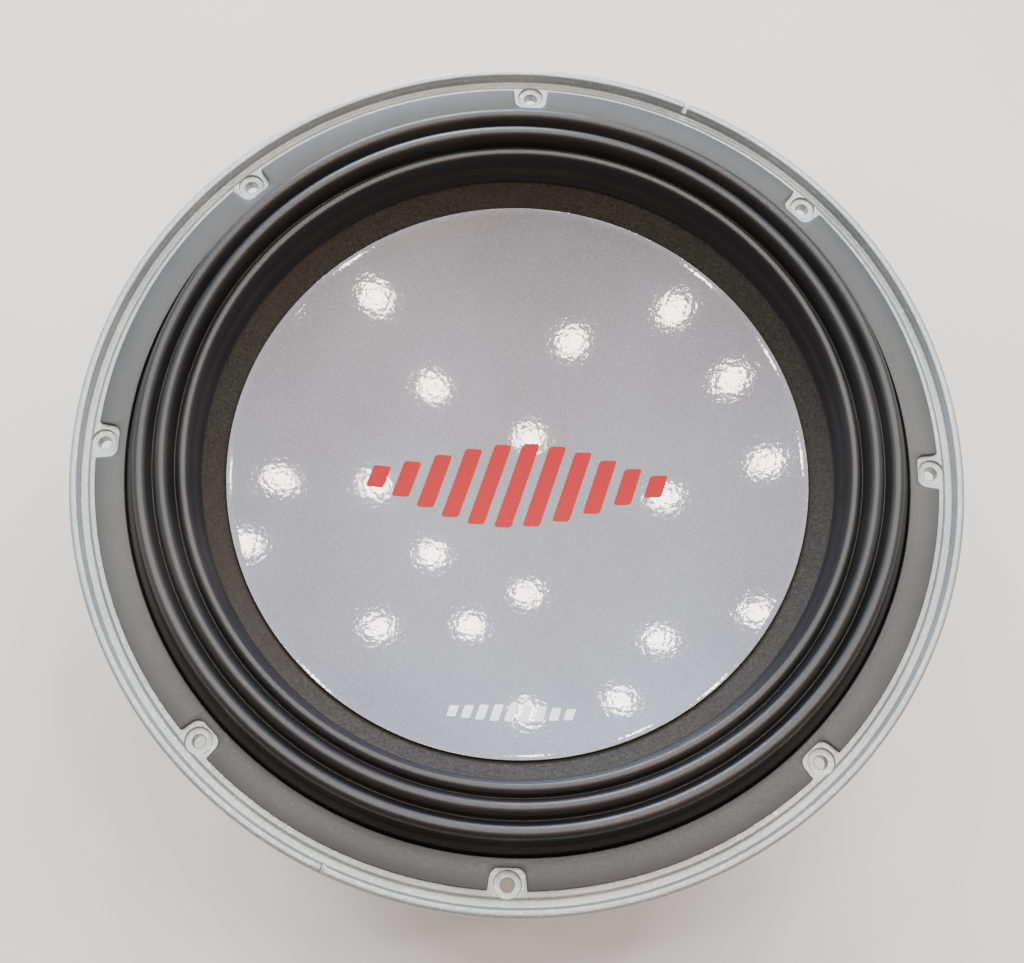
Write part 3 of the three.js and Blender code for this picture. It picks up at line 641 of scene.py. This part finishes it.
def basket_shell():
    """The casting as it is turned: seat, lower wall, cone of spokes, skirt, flange and raised lip."""
    low, high = bowl_line(0)
    _, inner_high = bowl_line(-BOWL_WALL)
    lip_in, lip_top = FRAME_R - 3.8 * MM, LAND + 4.4 * MM
    land_out, groove = lip_in - 4.4 * MM, LAND - 1.2 * MM
    ledge_out, ledge = GASKET_IN + 3.5 * MM, LAND - 1.7 * MM
    skirt_in = BOWL_R - BOWL_WALL
    landing_low = LANDING - BOWL_WALL
    return turned([
        (SEAT_BORE, SEAT, 0.8 * MM), (WALL_R, SEAT, 1.2 * MM), (low.x, low.y, 3 * MM),
        (high.x, high.y, 4 * MM), (BOWL_R, SKIRT_LOW, 3 * MM), (BOWL_R, FLANGE, 1.5 * MM),
        (FRAME_R, FLANGE, 1.2 * MM), (FRAME_R, lip_top, 1.5 * MM), (lip_in, lip_top, 1.2 * MM),
        (lip_in - 0.3 * MM, groove, 0.8 * MM), (land_out + 0.6 * MM, groove, 0.6 * MM),
        (land_out, LAND, 0.5 * MM), (ledge_out, LAND, 0.2 * MM), (ledge_out, ledge, 0.2 * MM),
        (skirt_in, ledge, 0.8 * MM), (skirt_in, SKIRT_LOW, 3 * MM),
        (inner_high.x, inner_high.y, 4 * MM), (WALL_IN, LANDING, 0.8 * MM),
        (LANDING_IN, LANDING, 0.5 * MM), (LANDING_IN, landing_low, 0.5 * MM),
        (WALL_IN, landing_low, 1 * MM), (WALL_IN, SEAT_TOP, 1.5 * MM), (SEAT_BORE, SEAT_TOP, 0.8 * MM)])


def window_cutter():
    """The opening between two spokes 17 mm wide, on +X, with round corners."""
    inner, outer = WALL_R + 8 * MM, BOWL_R - 14 * MM
    points = []
    for radius, way, steps in ((inner, 1, 8), (outer, -1, 14)):
        reach = math.pi / SPOKES - math.asin(8.5 * MM / radius)
        for i in range(steps + 1):
            angle = way * reach * (2 * i / steps - 1)
            corner = 6 * MM if i in (0, steps) else 0
            points.append((radius * math.cos(angle), radius * math.sin(angle), corner))
    low = LANDING - BOWL_WALL
    return shifted(pushed(wire(points, plane="xy"), FLANGE - low), 0, 0, low + 0.02 * MM)


def spoke_rib():
    """The rib under one spoke: an outline stood up in the x-z plane, 6 mm thick."""
    low, high = bowl_line(-BOWL_WALL / 2)
    out_low, out_high = bowl_line(9 * MM)
    slope = (out_high.y - out_low.y) / (out_high.x - out_low.x)
    top = BOWL_R - GAP
    foot = WALL_R + 4.5 * MM
    points = [
        (WALL_R - BOWL_WALL / 2, SEAT_TOP, 0), (foot, SEAT + 14 * MM, 3 * MM),
        (foot, out_low.y, 3 * MM), (out_low.x, out_low.y, 2 * MM),
        (top, out_low.y + slope * (top - out_low.x), 2 * MM), (top, SKIRT_LOW, 0),
        (high.x, high.y, 0), (low.x, low.y, 0)]
    bm = pushed(wire(points, plane="xy"), 6 * MM)
    return moved(bm, Matrix.Rotation(math.pi / 2, 4, "X") @ Matrix.Translation((0, 0, -3 * MM)))


def bolt_cutter():
    """A bolt hole and its counterbore at +Y, as one stepped plug."""
    hole, sink = 2.8 * MM, 5.7 * MM
    below, floor, above = FLANGE - 2 * MM, LAND - 1.8 * MM, LAND + 1 * MM
    plug = turned([
        (0, below, 0), (hole, below, 0), (hole, floor - 0.4 * MM, 0), (hole + 0.4 * MM, floor, 0),
        (sink, floor, 0), (sink, LAND - 0.4 * MM, 0), (sink + 0.9 * MM, above, 0), (0, above, 0)], 40)
    return shifted(plug, 0, BOLT_R, 0)


def lug_and_screw_cutters(near, far):
    """Slots for two lugs and holes for two screws through a plate that faces +X."""
    parts = []
    for side in (-1, 1):
        y = side * POST_Y
        parts.append(block(
            (near, y - 2.8 * MM, TERMINAL_Z - 0.7 * MM), (far, y + 2.8 * MM, TERMINAL_Z + 0.7 * MM)))
        parts.append(moved(rod(1.8 * MM, near, far, 24), along_x(side * SCREW_Y, TERMINAL_Z)))
    return parts


def basket(finish):
    """The casting: windows, slots, ribs, two brackets for terminals, bolt holes and screw holes."""
    half = 28 * MM

    def slot():
        return slab_x(SEAT + 8 * MM, LANDING - 8 * MM, 11 * MM, 3 * MM, WALL_R - 8 * MM, 12 * MM)

    def room():
        return block(
            (BRACKET_X + 2 * MM, -half - 1 * MM, TERMINAL_Z - 12 * MM),
            (BRACKET_X + 24 * MM, half + 1 * MM, TERMINAL_Z + 22 * MM))

    def bracket():
        return block(
            (BRACKET_X, -half, LANDING - BOWL_WALL + 0.01 * MM),
            (BRACKET_X + BRACKET_WALL, half, TERMINAL_Z + 12 * MM))

    def lip_notch():
        return block(
            (FRAME_R - 6 * MM, -1.1 * MM, LAND + 0.6 * MM), (FRAME_R + 1 * MM, 1.1 * MM, LAND + 6 * MM))

    shell = carved(basket_shell(), round_copies(window_cutter, SPOKES) + round_copies(slot, SPOKES))
    shell = carved(shell, round_copies(room, 2))
    ribs = round_copies(spoke_rib, SPOKES, math.pi / SPOKES)
    shell = carved(shell, ribs + round_copies(bracket, 2), "UNION")
    cuts = round_copies(bolt_cutter, 8) + round_copies(lip_notch, 2, math.radians(67.5))
    through = BRACKET_X - 1 * MM, BRACKET_X + BRACKET_WALL + 1 * MM
    for turn in (0, math.pi):
        cuts += [moved(cut, about(turn)) for cut in lug_and_screw_cutters(*through)]
    cuts += motor_screw_holes(SEAT, SEAT_TOP)
    body = eased(carved(shell, cuts), 0.35 * MM)
    piece("basket_casting", body, finish, "frame", ["basket"])


def front_gasket(finish):
    """A flat moulded ring, notched round each bolt hole, its edges eased."""

    def notch():
        inner, outer = GASKET_OUT - 9.4 * MM, GASKET_OUT + 1 * MM
        outline = [
            (-8.4 * MM, outer, 0), (-7.1 * MM, inner, 3.4 * MM), (7.1 * MM, inner, 3.4 * MM),
            (8.4 * MM, outer, 0)]
        return shifted(pushed(wire(outline, plane="xy"), 5 * MM), 0, 0, LAND - 1 * MM)

    ring = band(GASKET_IN, GASKET_OUT, LAND + GAP, GASKET_TOP, steps=240)
    body = eased(carved(ring, round_copies(notch, 8)), 0.55 * MM)
    piece("front_gasket", body, finish, "frame", ["trim_gasket"])


# ---- Surround, cone and cap ----


def cone_height(radius):
    """The middle of the cone's wall at a radius."""
    part = (radius - CONE_NECK) / (CONE_R - CONE_NECK)
    return CONE_EDGE - CONE_DEPTH * (1 - part) - CONE_BOW * math.sin(math.pi * part)


def surround(finish):
    """One tall rubber arch with three round rolls, a step by the gasket and a lip on the cone."""
    end = CONE_R - 3.2 * MM
    # Millimetres out from the arch's foot, millimetres up from the flange's face, and the rounding.
    rolls = [
        (3.8, -0.95, 0.0), (0.7, -0.95, 0.7), (-0.6, 4.2, 0.9), (-3.0, 5.6, 0.9), (-4.4, 10.4, 0.8),
        (-4.9, 17.5, 2.4), (-10.0, 18.1, 2.4), (-13.0, 11.6, 1.1), (-14.9, 17.9, 2.2),
        (-19.7, 18.2, 2.3), (-22.1, 8.8, 1.1), (-24.2, 13.6, 1.8), (-28.3, 13.3, 1.8),
        (-28.7, 3.4, 1.3), (-30.3, 1.3, 0.9), (-30.9, -2.4, 0.6)]
    points = [(ROLL_OUT + r * MM, LAND + z * MM, rounding * MM) for r, z, rounding in rolls]
    points.append((end, cone_height(end) + 1.9 * MM, 0))
    body = walled(spun(wire(points, closed=False), 256), RUBBER)
    made = piece("rubber_surround", body, finish, None, ["surround"], sharp=60)
    radial_blend(made, ROLL_OUT, ROLL_IN)


def cone(finish):
    """A bowed cone of pulp that ends in a short neck round the coil's tube."""
    neck = CONE_NECK + CONE_WALL / 2
    points = [(neck, NECK_LOW, 0)]
    for i in range(25):
        radius = neck + (CONE_R - neck) * i / 24
        points.append((radius, cone_height(radius), 0))
    body = walled(spun(wire(points, closed=False)), CONE_WALL)
    piece("paper_cone", body, finish, "cone_assembly", ["cone"])


def cap_height(radius):
    """The upper face of the dished cap at a radius."""
    return CAP_TOP - CAP_SAG * (1 - (radius / CAP_R) ** 2)


def dust_cap(finish):
    """A dish with an even wall and a rounded edge that closes the cone."""
    rings = 40
    upper = [(CAP_R * i / rings, cap_height(CAP_R * i / rings), 0) for i in range(rings)]
    lower = [(r, z - CAP_WALL, 0) for r, z, _ in reversed(upper)]
    rim = [(CAP_R, CAP_TOP, 0.5 * MM), (CAP_R, CAP_TOP - CAP_WALL, 0.3 * MM)]
    body = turned(upper + rim + lower, steps=240)
    piece("dished_cap", body, finish, "cone_assembly", ["dust_cap"], sharp=50)


def printed_bars(name, count, pitch, tall, short, middle, finish):
    """A row of slanted bars on the dish that swell towards the middle, each a thin film of ink."""
    bars = []
    for i in range(count):
        part = (i + 0.5) / count
        height = short + (tall - short) * math.sin(math.pi * part) ** 1.5
        bm = bmesh.new()
        bmesh.ops.create_grid(bm, x_segments=3, y_segments=12, size=0.5)
        slant = Matrix(((0.62 * pitch, 0.3 * height, 0, 0), (0, height, 0, 0), (0, 0, 1, 0), (0, 0, 0, 1)))
        place = Matrix.Translation(((i - (count - 1) / 2) * pitch, middle, 0))
        corners = [vertex for vertex in bm.verts if len(vertex.link_edges) == 2]
        moved(bm, place @ slant)
        bars.append(rounded(bm, corners, 0.12 * pitch, 4, "VERTICES"))
    film = gathered(bars)
    for vertex in film.verts:
        vertex.co.z = cap_height(math.hypot(vertex.co.x, vertex.co.y)) + 0.06 * MM
    bmesh.ops.recalc_face_normals(film, faces=film.faces[:])
    walled(film, 0.06 * MM)
    piece(name, film, finish, "cone_assembly")


# ---- Voice coil and spider ----


def winding(name, node, inner, outer, finish):
    """Close-laid turns of round wire, drawn as a ridged sleeve."""
    turns = 38
    width = (COIL_TOP - COIL_LOW) / turns
    points = [(inner, COIL_LOW, 0)]
    for i in range(turns):
        middle = COIL_LOW + (i + 0.5) * width
        for side, depth in ((-0.48, 0.5), (-0.3, 0.12), (0.0, 0.0), (0.3, 0.12)):
            points.append((outer - depth * width / 2, middle + side * width, 0))
    points += [(outer - width / 4, COIL_TOP, 0), (inner, COIL_TOP, 0)]
    piece(name, turned(points, 96), finish, "cone_assembly", [node], sharp=80)


def voice_coil(aluminium, copper):
    tube = band(FORMER_R - 0.7 * MM, FORMER_R, FORMER_LOW, FORMER_TOP, steps=128)
    piece("coil_tube", tube, aluminium, "cone_assembly", ["coil_former"])
    for place in ("inner", "outer"):
        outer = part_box("coil_winding_" + place)[1][0]
        winding("copper_" + place, "coil_winding_" + place, outer - 0.9 * MM, outer, copper)


def spider(finish):
    """Corrugated cloth: a flat lip on the landing, five waves, and a short cuff on the coil."""
    inner, outer = CONE_NECK + 0.7 * MM, LANDING_IN - 1.4 * MM
    level = LANDING + GAP + 0.7 * MM
    points = [(inner, level + 4.6 * MM, 0), (inner + 0.6 * MM, level, 1.2 * MM)]
    waves = 5
    steps = 16 * waves
    for i in range(2, steps + 1):
        part = i / steps
        fade = min(1, 6 * part, 6 * (1 - part))
        radius = inner + 0.6 * MM + (outer - inner) * part
        points.append((radius, level + 2.2 * MM * fade * math.sin(2 * math.pi * waves * part), 0))
    points.append((WALL_IN - 0.5 * MM, level, 0))
    body = walled(spun(wire(points, closed=False), 160), 0.8 * MM)
    made = piece("spider_cloth", body, finish, None, ["spider"], sharp=70)
    radial_blend(made, outer, inner + 1 * MM)


def glue_beads(finish):
    """Cement at the cone's neck and along the surround's inner edge."""
    neck_z = cone_height(CONE_NECK + 1 * MM)
    neck = turned([
        (FORMER_R + 0.05 * MM, neck_z + 0.2 * MM, 0), (FORMER_R + 4.2 * MM, neck_z + 2.6 * MM, 0.6 * MM),
        (FORMER_R + 0.05 * MM, neck_z + 3.4 * MM, 0)], 96)
    piece("neck_cement", neck, finish, "cone_assembly")
    edge = CONE_R - 2 * MM
    edge_z = cone_height(edge) + CONE_WALL / 2 * 1.37  # up through the sloping wall
    lip = turned([
        (edge - 0.9 * MM, edge_z - 0.8 * MM, 0), (edge + 0.3 * MM, edge_z + 0.3 * MM, 0),
        (edge - 0.1 * MM, edge_z + 0.8 * MM, 0.2 * MM)], 192)
    piece("edge_cement", lip, finish, "cone_assembly")


# ---- Motor ----


def motor_screw_places():
    radius = (SEAT_BORE + WALL_IN) / 2
    return [(radius * math.cos(math.pi * i / 3), radius * math.sin(math.pi * i / 3)) for i in range(6)]


def motor_screw_holes(low, high):
    """Cutters through a wall from low to high."""
    return [
        shifted(rod(3.3 * MM, low - 1 * MM, high + 1 * MM, 32), x, y, 0)
        for x, y in motor_screw_places()]


def motor(steel, aluminium, ferrite, rubber):
    """The vented pole on its back plate, the magnets, the front plate, the flux ring and the boot."""
    bevel = 3 * MM
    yoke = turned([
        (VENT_R + 6 * MM, 0, 0.6 * MM), (PLATE_R - bevel, 0, 0.5 * MM), (PLATE_R, bevel, 0.5 * MM),
        (PLATE_R, BACK_TOP, 0.8 * MM), (POLE_R + 1 * MM, BACK_TOP, 0.8 * MM),
        (POLE_R, BACK_TOP + 2 * MM, 0.4 * MM), (POLE_R, POLE_TOP, 0.8 * MM),
        (VENT_R + bevel, POLE_TOP, 0.8 * MM), (VENT_R, POLE_TOP - 6 * MM, 2 * MM),
        (VENT_R, 6 * MM, 2 * MM)], 160)
    piece("pole_and_back_plate", yoke, steel, "frame", ["yoke"])
    (_, _, plate_low), (_, _, plate_high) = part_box("top_plate")
    plate = band(PLATE_BORE, PLATE_R, plate_low, plate_high, (0.5 * MM, 0.8 * MM), 160)
    plate = carved(plate, motor_screw_holes(plate_low, plate_high))
    piece("front_plate", plate, steel, "frame", ["top_plate"])
    for node in ("magnet_rear", "magnet_front"):
        (_, _, low), (_, _, high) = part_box(node)
        ring = band(MAGNET_BORE, MAGNET_R, low, high, (0.7 * MM, 1 * MM), 160)
        piece(node + "_ring", ring, ferrite, "frame", [node])
    (_, _, low), (_, _, high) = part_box("shorting_ring")
    ring = band(POLE_R + GAP, FLUX_RING_R, low, high, (0.3 * MM, 0.3 * MM), 96)
    piece("flux_ring", ring, aluminium, "frame", ["shorting_ring"])
    (_, _, low), (outer, _, high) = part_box("magnet_boot")
    inner, lip, groove = MAGNET_R + GAP, PLATE_R + GAP, outer - 1.1 * MM
    boot = [(lip, low, 0.6 * MM), (outer, low, 1.8 * MM)]
    for i in range(3):
        level = low + (high - low) * (i + 1) / 4
        boot += [
            (outer, level - 2 * MM, 0.5 * MM), (groove, level - 1.2 * MM, 0.4 * MM),
            (groove, level + 1.2 * MM, 0.4 * MM), (outer, level + 2 * MM, 0.5 * MM)]
    boot += [
        (outer, high, 1.8 * MM), (lip, high, 0.6 * MM), (lip, plate_low, 0), (inner, plate_low, 0),
        (inner, BACK_TOP, 0), (lip, BACK_TOP, 0)]
    piece("motor_boot", turned(boot), rubber, "frame", ["magnet_boot"])


def motor_screws(steel):
    """Six M6 socket-head cap screws."""
    for i, (x, y) in enumerate(motor_screw_places()):
        blank = turned([
            (0, -13 * MM, 0), (2.6 * MM, -13 * MM, 0), (3 * MM, -12.4 * MM, 0.2 * MM),
            (3 * MM, 0, 0), (5 * MM, 0, 0.3 * MM), (5 * MM, 5 * MM, 0.7 * MM), (0, 5 * MM, 0)], 48)
        socket = rod(2.9 * MM, 2.3 * MM, 6 * MM, 6)
        body = shifted(carved(blank, [socket]), x, y, SEAT_TOP + GAP)
        piece(f"socket_screw_{i + 1}", body, steel, "frame", [f"motor_screw_{i + 1}"])


# ---- Terminals ----


def terminal_base(end, turn, finish):
    """A plate with two hollow posts, each crossed by a hole for a bare wire."""
    front = TERMINAL_X + 4 * MM
    tip = front + 17 * MM
    wire_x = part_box("terminal_plunger_a_plus")[0][0] + 4.6 * MM
    low, top = TERMINAL_Z - 11 * MM, TERMINAL_Z + 11 * MM
    plate = slab_x(low, top, 27 * MM, 3 * MM, TERMINAL_X, front - TERMINAL_X)
    posts = []
    cuts = lug_and_screw_cutters(TERMINAL_X - 1 * MM, front + 1 * MM)
    for y in (-POST_Y, POST_Y):
        post = turned([
            (0, front - 1 * MM, 0), (8 * MM, front - 1 * MM, 0), (8 * MM, tip - 6 * MM, 0.4 * MM),
            (7.4 * MM, tip - 5.4 * MM, 0.3 * MM), (7.4 * MM, tip, 0.8 * MM), (0, tip, 0)], 48)
        posts.append(moved(post, along_x(y, TERMINAL_Z)))
        cuts.append(moved(rod(5.3 * MM, front, tip + 1 * MM), along_x(y, TERMINAL_Z)))
        cuts.append(shifted(rod(2.1 * MM, low - 1 * MM, top + 1 * MM, 24), wire_x, y, 0))
    body = moved(eased(carved(carved(plate, posts, "UNION"), cuts), 0.3 * MM), about(turn))
    node = "terminal_base_" + end
    piece("terminal_block_" + end, body, finish, "frame", [node])


def terminal_plunger(label, y, turn, finish):
    """A stem with its own wire hole, and a round cap with a dished face and a grooved edge."""
    (start, _, _), (tip, _, _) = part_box("terminal_plunger_a_plus")
    cap = tip - 4 * MM
    stem = turned([
        (0, start, 0), (4.9 * MM, start, 0.5 * MM), (4.9 * MM, cap, 0), (6.8 * MM, cap, 0.5 * MM),
        (6.8 * MM, tip, 0.9 * MM), (5.2 * MM, tip, 0.5 * MM), (4.6 * MM, tip - 0.7 * MM, 0.5 * MM),
        (0, tip - 1 * MM, 0)], 48)
    wire_hole = rod(2.1 * MM, TERMINAL_Z - 9 * MM, TERMINAL_Z + 9 * MM, 24)
    cuts = [shifted(wire_hole, start + 7.6 * MM, y, 0)]
    edge = 6.85 * MM
    for i in range(24):
        angle = 2 * math.pi * i / 24
        groove = rod(0.35 * MM, cap + 0.8 * MM, tip - 0.9 * MM, 8)
        line = along_x(y + edge * math.cos(angle), TERMINAL_Z + edge * math.sin(angle))
        cuts.append(moved(groove, line))
    body = moved(carved(moved(stem, along_x(y, TERMINAL_Z)), cuts), about(turn))
    piece(f"push_post_{label}", body, finish, "plunger_" + label, ["terminal_plunger_" + label])


def plunger_spring(label, y, turn, finish):
    """A short open coil of round wire behind the plunger."""
    (start, _, _), (stop, _, _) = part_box("terminal_spring_a_plus")
    wire_r = 0.42 * MM
    turns = 3
    bm = bmesh.new()
    ring = bmesh.ops.create_circle(
        bm, cap_ends=False, segments=10, radius=wire_r,
        matrix=Matrix.Translation((start + wire_r, 0, 4 * MM)) @ Matrix.Rotation(math.pi / 2, 4, "X"))
    steps = 28 * turns
    bmesh.ops.spin(
        bm, geom=ring["verts"] + bm.edges[:], cent=(0, 0, 0), axis=(1, 0, 0),
        dvec=((stop - start - 2 * wire_r) / steps, 0, 0), angle=2 * math.pi * turns, steps=steps,
        use_merge=False)
    bmesh.ops.holes_fill(bm, edges=bm.edges[:], sides=10)
    bmesh.ops.recalc_face_normals(bm, faces=bm.faces[:])
    moved(bm, about(turn) @ Matrix.Translation((0, y, TERMINAL_Z)))
    node = "terminal_spring_" + label
    made = piece("coil_spring_" + label, bm, finish, "frame", [node], sharp=60)
    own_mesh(made)


def solder_lug(label, y, turn, finish):
    """A flat tinned lug with a round inner end and a hole for the lead."""
    (near, _, _), (far, _, _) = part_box("terminal_lug_a_plus")
    outline = [
        (near, -2.5 * MM, 2.2 * MM), (far, -2.5 * MM, 0.4 * MM), (far, 2.5 * MM, 0.4 * MM),
        (near, 2.5 * MM, 2.2 * MM)]
    plate = shifted(pushed(wire(outline, plane="xy"), 0.8 * MM), 0, 0, -0.4 * MM)
    hole = shifted(rod(0.9 * MM, -1 * MM, 1 * MM, 24), near + 2.6 * MM, 0, 0)
    body = eased(carved(plate, [hole]), 0.12 * MM)
    moved(body, about(turn) @ Matrix.Translation((0, y, TERMINAL_Z)))
    piece("solder_lug_" + label, body, finish, "frame", ["terminal_lug_" + label])


def pan_screw(label, y, turn, finish):
    """An M3 pan-head screw with a cross recess."""
    (near, _, _), (far, _, _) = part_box("terminal_screw_a_plus")
    face = far - 2 * MM
    blank = turned([
        (0, near, 0), (1.5 * MM, near, 0.2 * MM), (1.5 * MM, face, 0), (3 * MM, face, 0.2 * MM),
        (3 * MM, face + 1 * MM, 0.6 * MM), (1.6 * MM, far, 0.6 * MM), (0, far, 0)], 40)
    long, thin, low, high = 1.6 * MM, 0.35 * MM, far - 1 * MM, far + 1 * MM
    recess = carved(
        block((-long, -thin, low), (long, thin, high)), [block((-thin, -long, low), (thin, long, high))],
        "UNION")
    body = moved(carved(blank, [recess]), about(turn) @ along_x(y, TERMINAL_Z))
    piece("pan_screw_" + label, body, finish, "frame", ["terminal_screw_" + label])


def smooth_route(points, steps):
    """Points along a smooth curve through given ones."""
    ends = [2 * points[0] - points[1]] + points + [2 * points[-1] - points[-2]]
    route = []
    for i in range(len(points) - 1):
        a, b, c, d = ends[i:i + 4]
        for step in range(steps):
            t = step / steps
            route.append(0.5 * (
                2 * b + (c - a) * t + (2 * a - 5 * b + 4 * c - d) * t ** 2
                + (3 * b - a - 3 * c + d) * t ** 3))
    return route + [points[-1]]


def tinsel_lead(label, y, turn, finish):
    """A braided lead that arches from its lug to the coil, with room to flex as the cone moves."""
    radius = 1.1 * MM
    sides = 16
    (former_end, _, _), (lug_end, _, _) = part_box("tinsel_lead_a_plus")
    rise = CONE_EDGE - CONE_DEPTH - TERMINAL_Z
    # Shares of the way from the lug to the coil, and of the rise to the cone's neck.
    places = [(0, 0), (0.08, 0.1), (0.25, 0.75), (0.5, 1.05), (0.75, 0.85), (0.92, 0.45), (1, 0.4)]
    route = smooth_route([
        Vector((lug_end + (former_end - lug_end) * run, y, TERMINAL_Z + rise * up))
        for run, up in places], 10)
    bm = bmesh.new()
    loops = []
    lengths = [0.0]
    for i, spot in enumerate(route):
        ahead = route[min(i + 1, len(route) - 1)] - route[max(i - 1, 0)]
        turn_to = ahead.to_track_quat("Z", "Y").to_matrix().to_4x4()
        made = bmesh.ops.create_circle(
            bm, cap_ends=False, segments=sides, radius=radius, matrix=Matrix.Translation(spot) @ turn_to)
        loops.append(made["verts"])
        if i:
            lengths.append(lengths[-1] + (spot - route[i - 1]).length / MM)
    across = bm.loops.layers.uv.new("UVMap")
    width = 2 * math.pi * radius / MM / sides
    for i in range(len(loops) - 1):
        for k in range(sides):
            nxt = (k + 1) % sides
            face = bm.faces.new((loops[i][k], loops[i][nxt], loops[i + 1][nxt], loops[i + 1][k]))
            marks = ((k, i), (k + 1, i), (k + 1, i + 1), (k, i + 1))
            for corner, (side, step) in zip(face.loops, marks):
                corner[across].uv = (side * width, lengths[step])
    for end in (loops[0], loops[-1]):
        bm.faces.new(end)
    bmesh.ops.recalc_face_normals(bm, faces=bm.faces[:])
    moved(bm, about(turn))
    node = "tinsel_lead_" + label
    made = piece("braided_lead_" + label, bm, finish, None, [node], sharp=80)
    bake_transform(made)


def terminals(plastic, red, steel, brass, braid):
    """Terminal a on +X and, turned half way round, terminal b on -X, each with its two poles."""
    poles = (-1, "plus", red, "plunger_red"), (1, "minus", plastic, "terminal_plastic")
    for end, turn in (("a", 0.0), ("b", math.pi)):
        terminal_base(end, turn, plastic)
        for side, pole, finish, slot in poles:
            label = end + "_" + pole
            terminal_plunger(label, side * POST_Y, turn, finish)
            plunger_spring(label, side * POST_Y, turn, steel)
            solder_lug(label, side * POST_Y, turn, brass)
            pan_screw(label, side * SCREW_Y, turn, steel)
            tinsel_lead(label, side * POST_Y, turn, braid)


# ---- The driver ----

stand_camera()
light_studio()
lay_floor()

paint = hammered_silver_paint()
butyl = moulded_rubber("butyl_rubber", "#161617", "#1e1e1f", 0.4, 0.9)
nitrile = moulded_rubber("nitrile_rubber", "#36393a", "#414445", 0.5, 1.1)
boot_rubber = moulded_rubber("boot_rubber", "#151516", "#1d1d1e", 0.55, 1.4)
pulp = pressed_pulp()
pearl = pearl_lacquer()
red_ink = screen_ink("red_ink", "#b00010", "#bc0c1c")
white_ink = screen_ink("white_ink", "#f4f6f8", "#e6e8ec")
steel = zinc_plate()
aluminium = bare_aluminium()
ferrite = sintered_ferrite()
copper = enamelled_copper()
cloth = phenolic_cloth()
black_nylon = moulded_plastic("black_nylon", "#161617", "#202022", 0.42)
red_acetal = moulded_plastic("red_acetal", "#a3191c", "#b6262a", 0.3)
brass = tinned_brass()
braid = tinsel_braid()
cement = rubber_cement()

basket(paint)
front_gasket(nitrile)
surround(butyl)
cone(pulp)
dust_cap(pearl)
printed_bars("red_level_bars", 11, 13 * MM, 42 * MM, 9 * MM, 0.0, red_ink)
printed_bars("white_level_bars", 9, 6.4 * MM, 8 * MM, 5 * MM, -111 * MM, white_ink)
voice_coil(aluminium, copper)
spider(cloth)
glue_beads(cement)
motor(steel, aluminium, ferrite, boot_rubber)
motor_screws(steel)
terminals(black_nylon, red_acetal, steel, brass, braid)
